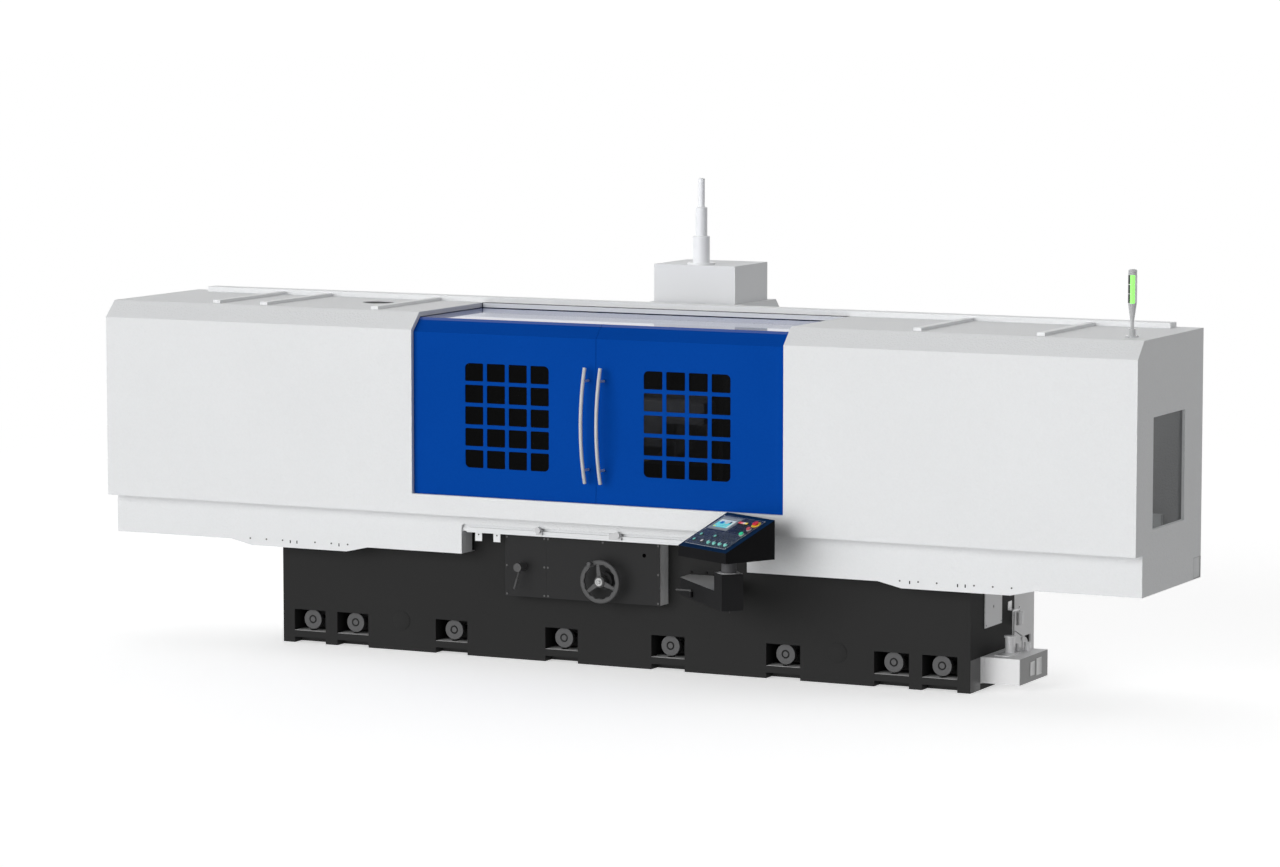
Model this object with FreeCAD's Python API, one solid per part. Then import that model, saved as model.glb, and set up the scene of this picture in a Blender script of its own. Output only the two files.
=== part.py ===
import FreeCAD, Part
import math
import os

Vector = FreeCAD.Vector

# All sizes are in millimetres. While the pieces are made, x runs to the operator's right from the
# middle of the machine, y runs back from the front of the upper casing, and z runs up from the floor.

# Casing, outside
casing_length = 6600.0
casing_depth = 1062.0
roof_height = 2039.0
bevel_depth = 100.0
bevel_height = 97.0
overhang_bottom = 862.0
skirt_inset = 106.0
skirt_bottom = 627.0
sheet = 3.0
overrun = 5.0

# Operator recess cut into the skirt
recess_half = 922.0
recess_top = 804.0
recess_return = 130.0
recess_corner = 22.0

# Door opening in the front, bevel and roof
opening_half = 1194.0
sill_height = 979.0
roof_opening_back = 877.0
opening_return = 27.0

# Sliding door leaves
door_recess = 30.0
door_thickness = 30.0
door_overlap = 20.0
door_tuck = 15.0
door_bottom = 965.0
door_gap = 2.0
door_shoe_length = 60.0
door_shoe_width = 16.0
door_shoe_inset = 90.0

# Window grid of a leaf, as shares of half the opening, and up from the floor
grid_near_share = 0.25544
grid_far_share = 0.71441
grid_bottom = 1148.0
grid_top = 1759.0
grid_columns = 4
grid_rows = 5
grid_bar_across = 24.0
grid_bar_up = 22.0
grid_corner = 30.0
cell_corner = 7.0
pane_thickness = 6.0
pane_lap = 20.0

# Bowed door handles
handle_place = 50.0
handle_bottom = 1100.0
handle_top = 1765.0
handle_radius = 11.0
handle_end_stand = 45.0
handle_bow = 52.0
handle_foot_spacing = 514.0
handle_foot_radius = 8.0

# Rails that carry the leaves
rail_half = 2340.0
lower_rail_front = 34.0
lower_rail_back = 54.0
lower_rail_height = 20.0
upper_rail_front = 880.0
upper_rail_back = 900.0
upper_rail_height = 24.0
rail_bracket_width = 40.0
rail_bracket_height = 15.0
rail_bracket_shares = (-0.98, -0.6, -0.25, 0.25, 0.6, 0.98)

# End window
end_window_front = 260.0
end_window_back = 770.0
end_window_bottom = 985.0
end_window_top = 1607.0
end_window_return = 12.0
end_pane_thickness = 4.0
end_pane_lap = 10.0

# Roof bars, rear rail and mist port
roof_bar_width = 48.0
roof_bar_height = 18.0
roof_bar_front = 150.0
rear_rail_half = 3150.0
rear_rail_front = 930.0
rear_rail_back = 1030.0
rear_rail_height = 30.0
roof_bar_shares = (-0.791, -0.6915, -0.462, 0.589, 0.8115)
mist_x_share = -0.5355
mist_y_share = 0.6045
mist_radius = 100.0
mist_collar_depth = 24.0

# Rear wall, its opening for the column, and the cable trunks
rear_opening_half = 320.0
rear_opening_top = 1945.0
foot_passage = 20.0
trunk_depth = 119.0
trunk_height = 120.0
trunk_wall = 2.0
trunk_start = 500.0

# Hanging brackets under the skirt
bracket_drop = 32.0
bracket_top_length = 940.0
bracket_bottom_length = 655.0
bracket_left_share = -0.614
bracket_right_share = 0.667
bracket_screw_pitch = 112.0
bracket_screw_rise = 10.0
bracket_screw_radius = 5.0
bracket_screw_height = 3.0
bracket_screw_steps = (-3, -2, -1, 1, 2, 3)

# Lamp column on the roof
lamp_x_share = 0.9565
lamp_y_share = 0.278
lamp_flange_radius = 37.5
lamp_flange_height = 8.0
lamp_collar_radius = 21.5
lamp_collar_height = 39.0
lamp_neck_radius = 10.0
lamp_neck_height = 39.0
lamp_cone_height = 100.0
lamp_radius = 25.0
lamp_height = 156.0
lamp_segments = 3
lamp_groove = 1.5
lamp_cap_height = 32.0
lamp_cap_edge = 6.0

# Bed
bed_half = 2230.0
bed_front = 264.0
bed_back = 925.0
bed_top = 760.0
bed_lip = 36.0
bed_trough_floor = 690.0
bed_wall = 40.0
bed_cavity_top = 640.0
pocket_shares = (0.1552, 0.4834, 0.7848, 0.917)
pocket_width = 214.0
pocket_depth = 195.0
pocket_bottom = 73.0
pocket_top = 202.0
foot_height = 33.0
anchor_radius = 13.0
anchor_inset = 24.0
wheel_inset = 42.0
levelling_radius = 54.0
levelling_thickness = 20.0
levelling_ring_radius = 20.0
levelling_ring_height = 4.0
levelling_stem_radius = 12.0

# Light plates on the ends of the bed
end_plate_front_share = 0.31
end_plate_back_share = 0.69
end_plate_bottom = 343.0
end_plate_top = 600.0
end_plate_thickness = 6.0
end_plate_hole = 9.0
end_plate_hole_y_share = 0.5
end_plate_hole_z_share = 0.43

# Ways of the bed and of the table
way_gap = 0.2
vee_centre = 400.0
vee_half = 45.0
vee_shoulder = 763.0
vee_top = 790.0
flat_centre = 790.0
flat_half = 40.0
flat_top = 780.0

# Table and chuck
table_half = 1600.0
table_front = 340.0
table_back = 850.0
table_under = 800.0
table_top = 860.0
table_shoe_half = 60.0
chuck_half = 1500.0
chuck_side = 15.0
chuck_top = 945.0
chuck_flange = 22.0
chuck_flange_height = 25.0
chuck_stop_thickness = 10.0
chuck_stop_rise = 8.0

# Lengthwise feed screw
feed_height = 728.0
feed_radius = 25.0
feed_block = 80.0
feed_block_inset = 50.0
fit_gap = 0.05
nut_half = 60.0
servo_width = 130.0
servo_length = 170.0
servo_cap = 40.0
servo_cap_width = 100.0

# Cross bed, its rails and its screw
cross_half = 450.0
cross_back = 2200.0
cross_top = 560.0
cross_wall = 40.0
cross_trough_half = 150.0
cross_trough_floor = 460.0
cross_rail_place = 330.0
cross_rail_half = 22.5
cross_rail_height = 40.0
cross_screw_radius = 20.0
cross_screw_height = 510.0
cross_block = 60.0

# Column
column_front = 1150.0
column_back = 1900.0
column_half = 250.0
column_wall = 30.0
column_foot = 640.0
column_foot_height = 80.0
column_foot_half = 400.0
column_top = 1930.0
carriage_half = 45.0
carriage_length = 180.0
carriage_lap = 25.0
slot_half = 70.0
slot_drop = 250.0
slot_rise = 330.0
post_width = 40.0
head_rail_place = 150.0
head_rail_half = 22.5
head_rail_depth = 25.0
head_rail_bottom = 880.0
head_rail_top = 1905.0
screw_place = 1432.0
screw_radius = 16.0
nut_radius = 75.0
nut_height = 165.0
head_servo_width = 110.0
head_servo_height = 150.0
head_servo_offset = 150.0

# Sheet cover of the column and the box on it
cover_half = 300.0
cover_front = 1335.0
cover_back = 1950.0
cover_top = 2045.0
box_half = 268.0
box_back = 1795.0
box_rise = 228.0
box_hole_gap = 1.0

# Telescopic guard of the rising screw
guard_flange_radius = 83.0
guard_flange_height = 10.0
guard_lower_radius = 51.0
guard_lower_wall = 4.0
guard_lower_rise = 170.0
guard_lower_drop = 123.0
guard_middle_radius = 35.5
guard_middle_wall = 3.0
guard_middle_rise = 173.0
guard_upper_radius = 20.0
guard_upper_wall = 3.0
guard_upper_rise = 173.0
guard_tube_length = 400.0
guard_cap = 6.0
guard_chamfer = 4.0
guard_gap = 0.3

# Wheelhead
spindle_height = 1340.0
head_plate_half = 220.0
head_plate_front = 1050.0
head_plate_back = 1100.0
head_plate_drop = 240.0
head_plate_rise = 200.0
head_carriage_height = 110.0
head_carriage_back = 1140.0
head_body_half = 150.0
head_body_front = 770.0
head_nose_radius = 125.0
head_nose_front = 700.0
head_edge = 30.0
spindle_radius = 40.0
spindle_length = 125.0
screw_arm_half = 50.0
screw_arm_drop = 20.0
screw_arm_rise = 60.0
screw_arm_reach = 40.0

# Grinding wheel and its flanges
wheel_radius = 175.0
wheel_bore = 63.5
wheel_front = 580.0
wheel_back = 660.0
flange_radius = 92.0
flange_thickness = 15.0
flange_nut_radius = 30.0
flange_nut_height = 10.0

# Wheel guard with its coolant box and nozzle
guard_front = 540.0
guard_radius = 195.0
guard_wall = 8.0
guard_flank_drop = 75.0
guard_back_hole = 60.0
coolant_box_end = 445.0
coolant_box_rise = 65.0
coolant_box_edge = 25.0
nozzle_place = 222.0
nozzle_radius = 9.0
nozzle_drop = 150.0

# Gear case in the recess, with its two covers
apron_left = 660.0
apron_right = 348.0
apron_bottom = 391.0
apron_top = 750.0
apron_front = 157.0
apron_cover = 3.0
apron_wall = 12.0
apron_seam_share = 0.268
apron_plug_x_share = 0.703
apron_plug_z_share = 0.797
apron_plug_radius = 11.5
apron_screw_inset = 12.0
apron_screw_radius = 6.0
apron_screw_height = 2.5

# Handwheel and its knob
handwheel_height = 520.0
handwheel_face = 80.0
handwheel_radius = 117.0
handwheel_rim = 9.5
handwheel_hub_radius = 24.0
handwheel_hub_front = 60.0
handwheel_shaft_radius = 15.0
handwheel_boss_radius = 52.0
handwheel_boss_height = 30.0
handwheel_spoke_radius = 7.5
handwheel_spokes = 3
handwheel_turn = 98.0
handwheel_shaft_end = 245.0
knob_angle = 118.0
knob_radius = 14.0
knob_length = 28.0
knob_pin_radius = 5.0
knob_gap = 2.0

# Lever of the table valve
lever_place = 540.0
lever_height = 570.0
lever_hub_radius = 25.0
lever_hub_length = 78.0
lever_shaft_radius = 12.0
lever_rod_radius = 5.0
lever_grip_radius = 8.0
lever_drop = 125.0
lever_lean = 52.0
lever_side = 12.0
lever_start = 38.0
lever_grip_share = 0.45
lever_gap = 0.3

# Stroke rail in the recess with its two stops
stroke_half = 886.0
stroke_bottom = 757.0
stroke_top = 786.0
stroke_depth = 20.0
stroke_groove = 10.0
stroke_groove_depth = 6.0
tab_width = 45.0
tab_drop = 51.0
tab_hole = 5.0
tab_hole_drop = 13.0
tab_shares = (-0.9229, -0.7867)
stop_shares = (-0.4588, 0.1205)
stop_reaches = (20.0, 59.0)
stop_half = 20.0
stop_knob_rise = 10.5
stop_plate = 8.0
stop_drop = 20.0
stop_rise = 15.0
stop_hook = 7.0
stop_gap = 0.3
stop_knob_radius = 18.0
stop_knob_length = 22.0

# Console arm
arm_root_left = 488.0
arm_root_right = 738.0
arm_bar_bottom = 471.0
arm_bar_top = 571.0
post_x = 994.0
post_y = -290.0
arm_box_half = 64.0
arm_box_top = 677.0
arm_turn = 45.0
arm_wall = 8.0
post_radius = 42.0
post_wall = 5.0
post_lap = 60.0
post_collar_radius = 53.0
post_collar_height = 16.0
latch_share = 0.385
latch_stand = 14.0
latch_boss_radius = 10.0
latch_boss_height = 34.0
latch_boss_bottom = 486.0
latch_pin_height = 20.0
latch_pin_radius = 6.0
latch_rod_radius = 5.0
latch_rod_length = 88.0
latch_gap = 0.3

# Console
console_x = 971.0
console_y = -272.0
console_turn = 28.3
console_width = 448.0
console_depth = 340.0
console_bottom = 760.0
console_front_height = 61.0
console_back_height = 222.0
console_wall = 4.0
panel_left = 205.0
panel_right = 182.0
panel_front = 33.0
panel_back = 345.0
panel_thickness = 3.0
display_left = 172.0
display_right = 32.0
display_front = 217.0
display_back = 297.0
display_thickness = 2.0
button_column = 143.0
stop_button_row = 245.0
start_button_row = 188.0
emergency_row = 300.0
emergency_radius = 20.0
emergency_height = 14.0
emergency_stem_radius = 11.0
emergency_stand = 9.0
button_radius = 13.0
button_height = 7.0
button_stem_radius = 8.0
button_stand = 5.0
stem_depth = 16.0
stem_gap = 0.3
selector_row = 66.5
selector_places = 4
selector_first = -18.5
selector_last = 139.5
selector_radius = 12.0
selector_height = 9.0
selector_pointer_height = 8.0
selector_pointer_half = 3.5
selector_stem_radius = 5.0

# Hydraulic unit behind the bed
hydraulic_length = 530.0
hydraulic_bottom = 219.0
hydraulic_top = 600.0
hydraulic_back = 1234.0
hydraulic_leg_width = 104.0
hydraulic_leg_thickness = 10.0
hydraulic_motor_radius = 70.0
hydraulic_motor_length = 230.0
hydraulic_motor_height = 140.0

# Lubrication tank on the end of the bed
tank_length = 235.0
tank_front = 425.0
tank_back = 855.0
tank_bottom = 39.0
tank_top = 187.0
tank_wall = 3.0
tank_flare = 17.0
tank_edge = 6.0

# Pump, filter and pipes on the tank
pump_x_share = 0.4255
pump_y_share = 0.4256
pump_radius = 27.0
pump_height = 88.0
pump_cap_radius = 33.0
pump_cap_height = 9.0
pump_plate = 6.0
pump_plate_front = 120.0
pump_plate_half = 45.0
pipe_radius = 4.0
riser_x_share = 0.1277
riser_y_share = 0.9326
riser_top = 396.0
filter_behind = 108.0
filter_radius = 20.0
filter_top = 380.0
filter_bottom = 303.0
filter_stub_radius = 5.5
filter_stub_top = 414.0
filter_bracket = 56.0
filter_bracket_height = 50.0
bowl_x_share = 0.638
bowl_y_share = 0.765
bowl_radius = 19.0
bowl_height = 50.0
fitting_y_share = 0.688
fitting_radius = 9.0
fitting_height = 42.0
return_y_share = 0.872
return_top = 262.0
return_reach = 150.0

casing_half = casing_length / 2
cover_bottom = column_foot + column_foot_height
rest_turn = math.radians(console_turn)
front_reach = console_y - console_width / 2 * math.sin(rest_turn) - console_depth / 2 * math.cos(rest_turn)
origin_back = (front_reach + cross_back) / 2
bed_centre = (bed_front + bed_back) / 2
door_front = door_recess
door_inside = door_recess + sheet
cross_front = bed_back
grid_near = grid_near_share * opening_half
grid_far = grid_far_share * opening_half
box_top = cover_top + box_rise
guard_lower_top = box_top + guard_lower_rise
guard_lower_foot = box_top - guard_lower_drop
guard_middle_top = guard_lower_top + guard_middle_rise
guard_upper_top = guard_middle_top + guard_upper_rise
head_plate_bottom = spindle_height - head_plate_drop
head_plate_top = spindle_height + head_plate_rise
screw_arm_bottom = spindle_height - screw_arm_drop
screw_arm_top = spindle_height + screw_arm_rise
slot_bottom = spindle_height - slot_drop
slot_top = spindle_height + slot_rise
guard_flank_bottom = spindle_height - guard_flank_drop
coolant_box_bottom = spindle_height + coolant_box_rise
nozzle_bottom = spindle_height - nozzle_drop
hydraulic_left = bed_half - hydraulic_length
tank_right = bed_half + tank_length
along_x = Vector(1, 0, 0)
along_y = Vector(0, 1, 0)
along_z = Vector(0, 0, 1)


def write(name, shape):
    """One STEP file, with the origin under the middle of the whole machine."""
    placed = shape.copy()
    placed.translate(Vector(0, -origin_back, 0))
    placed.exportStep("parts/" + name + ".step")


def block(x_low, x_high, y_low, y_high, z_low, z_high):
    corner = Vector(x_low, y_low, z_low)
    return Part.makeBox(x_high - x_low, y_high - y_low, z_high - z_low, corner)


def rod(radius, length, start, direction):
    return Part.makeCylinder(radius, length, start, direction)


def tube(outer, wall, length, start):
    whole = rod(outer, length, start, along_z)
    return whole.cut(rod(outer - wall, length, start, along_z))


def joined(shapes):
    first = shapes[0]
    whole = first.fuse(shapes[1:])
    return whole.removeSplitter()


def group(shapes):
    return Part.makeCompound(shapes)


def prism_along_x(outline, x_low, x_high):
    """A closed outline of (y, z) points drawn out from x_low to x_high."""
    points = [Vector(x_low, y, z) for y, z in outline]
    face = Part.Face(Part.makePolygon(points + points[:1]))
    return face.extrude(Vector(x_high - x_low, 0, 0))


def prism_along_y(outline, y_low, y_high):
    """A closed outline of (x, z) points drawn out from y_low to y_high."""
    points = [Vector(x, y_low, z) for x, z in outline]
    face = Part.Face(Part.makePolygon(points + points[:1]))
    return face.extrude(Vector(0, y_high - y_low, 0))


def prism_along_z(outline, z_low, z_high):
    """A closed outline of (x, y) points drawn out from z_low to z_high."""
    points = [Vector(x, y, z_low) for x, y in outline]
    face = Part.Face(Part.makePolygon(points + points[:1]))
    return face.extrude(Vector(0, 0, z_high - z_low))


def rounded_along_y(x_low, x_high, y_low, y_high, z_low, z_high, radius):
    """A block with its four edges along y rounded."""
    solid = block(x_low, x_high, y_low, y_high, z_low, z_high)
    edges = [edge for edge in solid.Edges if runs_along(edge, along_y)]
    return solid.makeFillet(radius, edges)


def runs_along(edge, direction):
    tangent = edge.tangentAt(edge.FirstParameter)
    return abs(tangent.dot(direction)) > math.cos(math.radians(1))


def offset_path(path, distance):
    """The (y, z) path at a steady distance on the right-hand side of its run."""
    normals = []
    for start, end in zip(path, path[1:]):
        run = math.dist(start, end)
        normals.append(((end[1] - start[1]) / run, (start[0] - end[0]) / run))
    normals = normals[:1] + normals + normals[-1:]
    moved = []
    for point, before, after in zip(path, normals, normals[1:]):
        spread = 1 + before[0] * after[0] + before[1] * after[1]
        step_y = (before[0] + after[0]) / spread * distance
        step_z = (before[1] + after[1]) / spread * distance
        moved.append((point[0] + step_y, point[1] + step_z))
    return moved


def folded_sheet(path, thickness, x_low, x_high):
    """Sheet folded along a (y, z) path, its outer face on the path."""
    outline = path + offset_path(path, thickness)[::-1]
    return prism_along_x(outline, x_low, x_high)


def mirrored(shape):
    return shape.mirror(Vector(0, 0, 0), along_x)


def casing_path(start):
    """The casing's outer section from a start point up the front and over the roof."""
    shoulder = (0, roof_height - bevel_height)
    brow = (bevel_depth, roof_height)
    return start + [shoulder, brow, (casing_depth, roof_height)]


def front_panel(side):
    """One long white panel: step, front, bevel and roof folded from sheet."""
    step = [(skirt_inset + sheet, overhang_bottom), (0, overhang_bottom)]
    path = casing_path(step)
    panel = folded_sheet(path, sheet, opening_half, casing_half - sheet)
    edge_path = casing_path([(0, sill_height)])
    edge_path = edge_path[:-1] + [(roof_opening_back, roof_height)]
    edge = folded_sheet(edge_path, opening_return, opening_half, opening_half + sheet)
    panel = joined([panel, edge])
    if side > 0:
        return panel
    panel = mirrored(panel)
    mist_x = mist_x_share * casing_half
    mist_y = mist_y_share * casing_depth
    collar_start = Vector(mist_x, mist_y, roof_height - mist_collar_depth)
    collar = rod(mist_radius + sheet, mist_collar_depth, collar_start, along_z)
    port = rod(mist_radius, mist_collar_depth, collar_start, along_z)
    return joined([panel, collar]).cut(port)


def front_sill():
    """The low white strip under the doors, with its upper edge folded in."""
    top = (0, sill_height)
    path = [(skirt_inset + sheet, overhang_bottom), (0, overhang_bottom), top]
    strip = folded_sheet(path, sheet, -opening_half, opening_half)
    edge = block(-opening_half, opening_half, 0, opening_return, sill_height - sheet, sill_height)
    return joined([strip, edge])


def skirt_bracket(centre):
    """A hanging strip with slanted ends and a foot that runs back to the bed."""
    top = bracket_top_length / 2
    bottom = bracket_bottom_length / 2
    low = skirt_bottom - bracket_drop
    outline = [(centre - top, skirt_bottom), (centre + top, skirt_bottom)]
    outline += [(centre + bottom, low), (centre - bottom, low)]
    hanging = prism_along_y(outline, skirt_inset, skirt_inset + sheet)
    foot = block(centre - bottom, centre + bottom, skirt_inset, bed_front, low, low + sheet)
    return joined([hanging, foot])


def lower_skirt():
    """The set-back skirt with the operator recess, and the tray inside it."""
    inner = casing_half - sheet
    skirt_back = skirt_inset + sheet
    wall = block(-inner, inner, skirt_inset, skirt_back, skirt_bottom, overhang_bottom)
    tray = block(-inner, inner, skirt_back, casing_depth - sheet, skirt_bottom, skirt_bottom + sheet)
    low = skirt_bottom - overrun
    opening = rounded_along_y(-recess_half, recess_half, skirt_inset - overrun, bed_front,
                              low - recess_corner, recess_top, recess_corner)
    skirt = joined([wall, tray]).cut(opening)
    for side in (-1, 1):
        x_low = min(side * recess_half, side * (recess_half + sheet))
        fold = block(x_low, x_low + sheet, skirt_inset, skirt_inset + recess_return, skirt_bottom,
                     recess_top)
        skirt = skirt.fuse(fold)
    ceiling_half = recess_half + sheet
    ceiling = block(-ceiling_half, ceiling_half, skirt_inset, bed_front, recess_top, recess_top + sheet)
    closing = block(-ceiling_half, ceiling_half, bed_front, bed_front + sheet, bed_top, recess_top + sheet)
    skirt = skirt.fuse([ceiling, closing])
    tray_top = skirt_bottom + sheet
    skirt = skirt.cut(block(-bed_half, bed_half, bed_front, bed_back, low, tray_top))
    skirt = skirt.cut(block(-cross_half, cross_half, bed_back, casing_depth, low, tray_top))
    brackets = [skirt_bracket(share * casing_half) for share in (bracket_left_share, bracket_right_share)]
    return group([skirt.removeSplitter()] + brackets)


def end_wall(side):
    """A flat end of the casing, cut to its section."""
    outline = casing_path([(skirt_inset, skirt_bottom), (skirt_inset, overhang_bottom),
                           (0, overhang_bottom)])
    outline = outline + [(casing_depth, skirt_bottom)]
    wall = prism_along_x(outline, casing_half - sheet, casing_half)
    trunk_front = casing_depth - trunk_depth - sheet
    mouth_bottom = skirt_bottom + sheet
    wall = wall.cut(
        block(casing_half - overrun, casing_half, trunk_front, casing_depth - sheet, mouth_bottom,
              mouth_bottom + trunk_height)
    )
    if side < 0:
        return mirrored(wall)
    inner = casing_half - sheet - end_window_return
    ring = block(inner, casing_half - sheet, end_window_front - sheet, end_window_back + sheet,
                 end_window_bottom - sheet, end_window_top + sheet)
    hole = block(inner, casing_half, end_window_front, end_window_back, end_window_bottom, end_window_top)
    return joined([wall, ring]).cut(hole)


def end_window():
    """The clear pane behind the ring of the right-hand end wall."""
    x_high = casing_half - sheet - end_window_return
    return block(x_high - end_pane_thickness, x_high, end_window_front - end_pane_lap,
                 end_window_back + end_pane_lap, end_window_bottom - end_pane_lap,
                 end_window_top + end_pane_lap)


def rear_wall():
    """The back of the casing with its opening for the column, the roof strip behind the doors
    and the two cable trunks along the foot of the wall."""
    inner = casing_half - sheet
    wall_front = casing_depth - sheet
    wall = block(-inner, inner, wall_front, casing_depth, skirt_bottom, roof_height - sheet)
    strip = block(-opening_half, opening_half, roof_opening_back, casing_depth, roof_height - sheet,
                  roof_height)
    low = skirt_bottom + sheet
    opening = block(-rear_opening_half, rear_opening_half, wall_front, casing_depth, low, rear_opening_top)
    passage_half = column_foot_half + foot_passage
    passage_top = column_foot + column_foot_height + foot_passage
    passage = block(-passage_half, passage_half, wall_front, casing_depth, skirt_bottom, passage_top)
    wall = joined([wall, strip]).cut([opening, passage])
    trunk_front = wall_front - trunk_depth
    trunk = block(trunk_start, casing_half, trunk_front, wall_front, low, low + trunk_height)
    hollow = block(trunk_start, casing_half, trunk_front + trunk_wall, wall_front - trunk_wall,
                   low + trunk_wall, low + trunk_height - trunk_wall)
    trunk = trunk.cut(hollow)
    return group([wall, trunk, mirrored(trunk)])


def roof_bars():
    """Stiffening bars across the roof and the rail along its back."""
    low = roof_height
    bars = [block(-rear_rail_half, rear_rail_half, rear_rail_front, rear_rail_back, low,
                  low + rear_rail_height)]
    for share in roof_bar_shares:
        centre = share * casing_half
        left = centre - roof_bar_width / 2
        bars.append(block(left, left + roof_bar_width, roof_bar_front, rear_rail_front, low,
                          low + roof_bar_height))
    return group(bars)


def door_rails():
    """The lower and upper rail of the doors, each with the brackets that hold it."""
    shoe_seat = door_bottom - lower_rail_height
    lower = [block(-rail_half, rail_half, lower_rail_front, lower_rail_back, shoe_seat - lower_rail_height,
                   shoe_seat)]
    seat = roof_height - door_recess - door_thickness
    upper = [block(-rail_half, rail_half, upper_rail_front, upper_rail_back, seat - upper_rail_height,
                   seat)]
    bracket_low = shoe_seat - lower_rail_height
    for share in rail_bracket_shares:
        left = share * rail_half - rail_bracket_width / 2
        right = left + rail_bracket_width
        lower.append(block(left, right, sheet, lower_rail_front, bracket_low,
                           bracket_low + rail_bracket_height))
        arm_low = seat - upper_rail_height
        upper.append(block(left, right, upper_rail_back, casing_depth - sheet, arm_low,
                           arm_low + rail_bracket_height))
    return group([joined(lower), joined(upper)])


def window_cells():
    """The grid of openings in a leaf, as one cutting tool."""
    width = (grid_far - grid_near - (grid_columns - 1) * grid_bar_across) / grid_columns
    height = (grid_top - grid_bottom - (grid_rows - 1) * grid_bar_up) / grid_rows
    y_low = door_front - overrun
    y_high = door_inside + overrun
    cells = []
    for column in range(grid_columns):
        for row in range(grid_rows):
            x_low = grid_near + column * (width + grid_bar_across)
            z_low = grid_bottom + row * (height + grid_bar_up)
            cells.append(rounded_along_y(x_low, x_low + width, y_low, y_high, z_low, z_low + height,
                                         cell_corner))
    frame = rounded_along_y(grid_near, grid_far, y_low, y_high, grid_bottom, grid_top, grid_corner)
    return group(cells).common(frame)


def door_leaf():
    """The right-hand leaf: front, bevel and roof in one folded sheet with returned edges."""
    x_low = door_gap / 2
    x_high = opening_half + door_overlap
    outer = casing_path([(0, door_bottom)])[:-1] + [(roof_opening_back + door_tuck, roof_height)]
    path = offset_path(outer, door_recess)
    skin = folded_sheet(path, sheet, x_low, x_high)
    near_edge = folded_sheet(path, door_thickness, x_low, x_low + sheet)
    far_edge = folded_sheet(path, door_thickness, x_high - sheet, x_high)
    foot = block(x_low, x_high, door_front, door_front + door_thickness, door_bottom, door_bottom + sheet)
    back = roof_opening_back + door_tuck
    under = roof_height - door_recess - door_thickness
    tail = block(x_low, x_high, back - sheet, back, under, roof_height - door_recess)
    shoe_front = (lower_rail_front + lower_rail_back - door_shoe_width) / 2
    shoe_low = door_bottom - lower_rail_height
    shoes = []
    for left in (x_low + door_shoe_inset, x_high - door_shoe_inset - door_shoe_length):
        right = left + door_shoe_length
        shoes.append(block(left, right, shoe_front, shoe_front + door_shoe_width, shoe_low,
                           door_bottom + sheet))
    leaf = joined([skin, near_edge, far_edge, foot, tail] + shoes)
    return leaf.cut(window_cells())


def door_pane():
    """The dark pane fixed behind the window grid."""
    return block(grid_near - pane_lap, grid_far + pane_lap, door_inside, door_inside + pane_thickness,
                 grid_bottom - pane_lap, grid_top + pane_lap)


def door_handle():
    """A bowed tube handle on two feet."""
    middle = (handle_bottom + handle_top) / 2
    half = (handle_top - handle_bottom) / 2
    end_y = door_front - handle_end_stand
    crown_y = end_y - handle_bow
    start = Vector(handle_place, end_y, handle_bottom)
    crown = Vector(handle_place, crown_y, middle)
    end = Vector(handle_place, end_y, handle_top)
    bow = Part.Arc(start, crown, end).toShape()
    section = Part.Wire(Part.Circle(start, bow.tangentAt(bow.FirstParameter), handle_radius).toShape())
    bar = Part.Wire(bow).makePipeShell([section], True, False)
    bend_radius = (half ** 2 + handle_bow ** 2) / (2 * handle_bow)
    foot_rise = handle_foot_spacing / 2
    foot_y = crown_y + bend_radius - math.sqrt(bend_radius ** 2 - foot_rise ** 2)
    pieces = [bar]
    for side in (-1, 1):
        seat = Vector(handle_place, foot_y, middle + side * foot_rise)
        pieces.append(rod(handle_foot_radius, door_front - foot_y, seat, along_y))
    return joined(pieces)


def lamp_point():
    return Vector(lamp_x_share * casing_half, lamp_y_share * casing_depth, roof_height)


def turned(profile, centre):
    """A solid turned about the upright line through centre from (radius, height) points."""
    points = [Vector(centre.x + radius, centre.y, centre.z + height) for radius, height in profile]
    face = Part.Face(Part.makePolygon(points + points[:1]))
    return face.revolve(centre, along_z, 360)


def lamp_base():
    """The polished foot, neck and cone of the signal lamp, and its cap."""
    collar_top = lamp_flange_height + lamp_collar_height
    neck_top = collar_top + lamp_neck_height
    cone_top = neck_top + lamp_cone_height
    profile = [(0, 0), (lamp_flange_radius, 0), (lamp_flange_radius, lamp_flange_height)]
    profile += [(lamp_collar_radius, lamp_flange_height), (lamp_collar_radius, collar_top)]
    profile += [(lamp_neck_radius, collar_top), (lamp_neck_radius, neck_top)]
    profile += [(lamp_radius, cone_top), (0, cone_top)]
    base = turned(profile, lamp_point())
    cap_low = cone_top + lamp_height
    cap_top = cap_low + lamp_cap_height
    cap_profile = [(0, cap_low), (lamp_radius, cap_low), (lamp_radius, cap_top - lamp_cap_edge)]
    cap_profile += [(lamp_radius - lamp_cap_edge, cap_top), (0, cap_top)]
    return group([base, turned(cap_profile, lamp_point())])


def lamp_column():
    """The lamp itself: stacked segments with a groove between each two."""
    low = lamp_flange_height + lamp_collar_height + lamp_neck_height + lamp_cone_height
    segment = lamp_height / lamp_segments
    profile = [(0, low)]
    for number in range(lamp_segments):
        foot = low + number * segment
        inner = lamp_radius - lamp_groove
        profile += [(inner, foot), (inner, foot + lamp_groove), (lamp_radius, foot + lamp_groove)]
        profile += [(lamp_radius, foot + segment - lamp_groove), (inner, foot + segment - lamp_groove)]
    profile += [(lamp_radius - lamp_groove, low + lamp_height), (0, low + lamp_height)]
    return turned(profile, lamp_point())


def pocket_places():
    places = [share * bed_half for share in pocket_shares]
    return [-place for place in reversed(places)] + places


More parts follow.
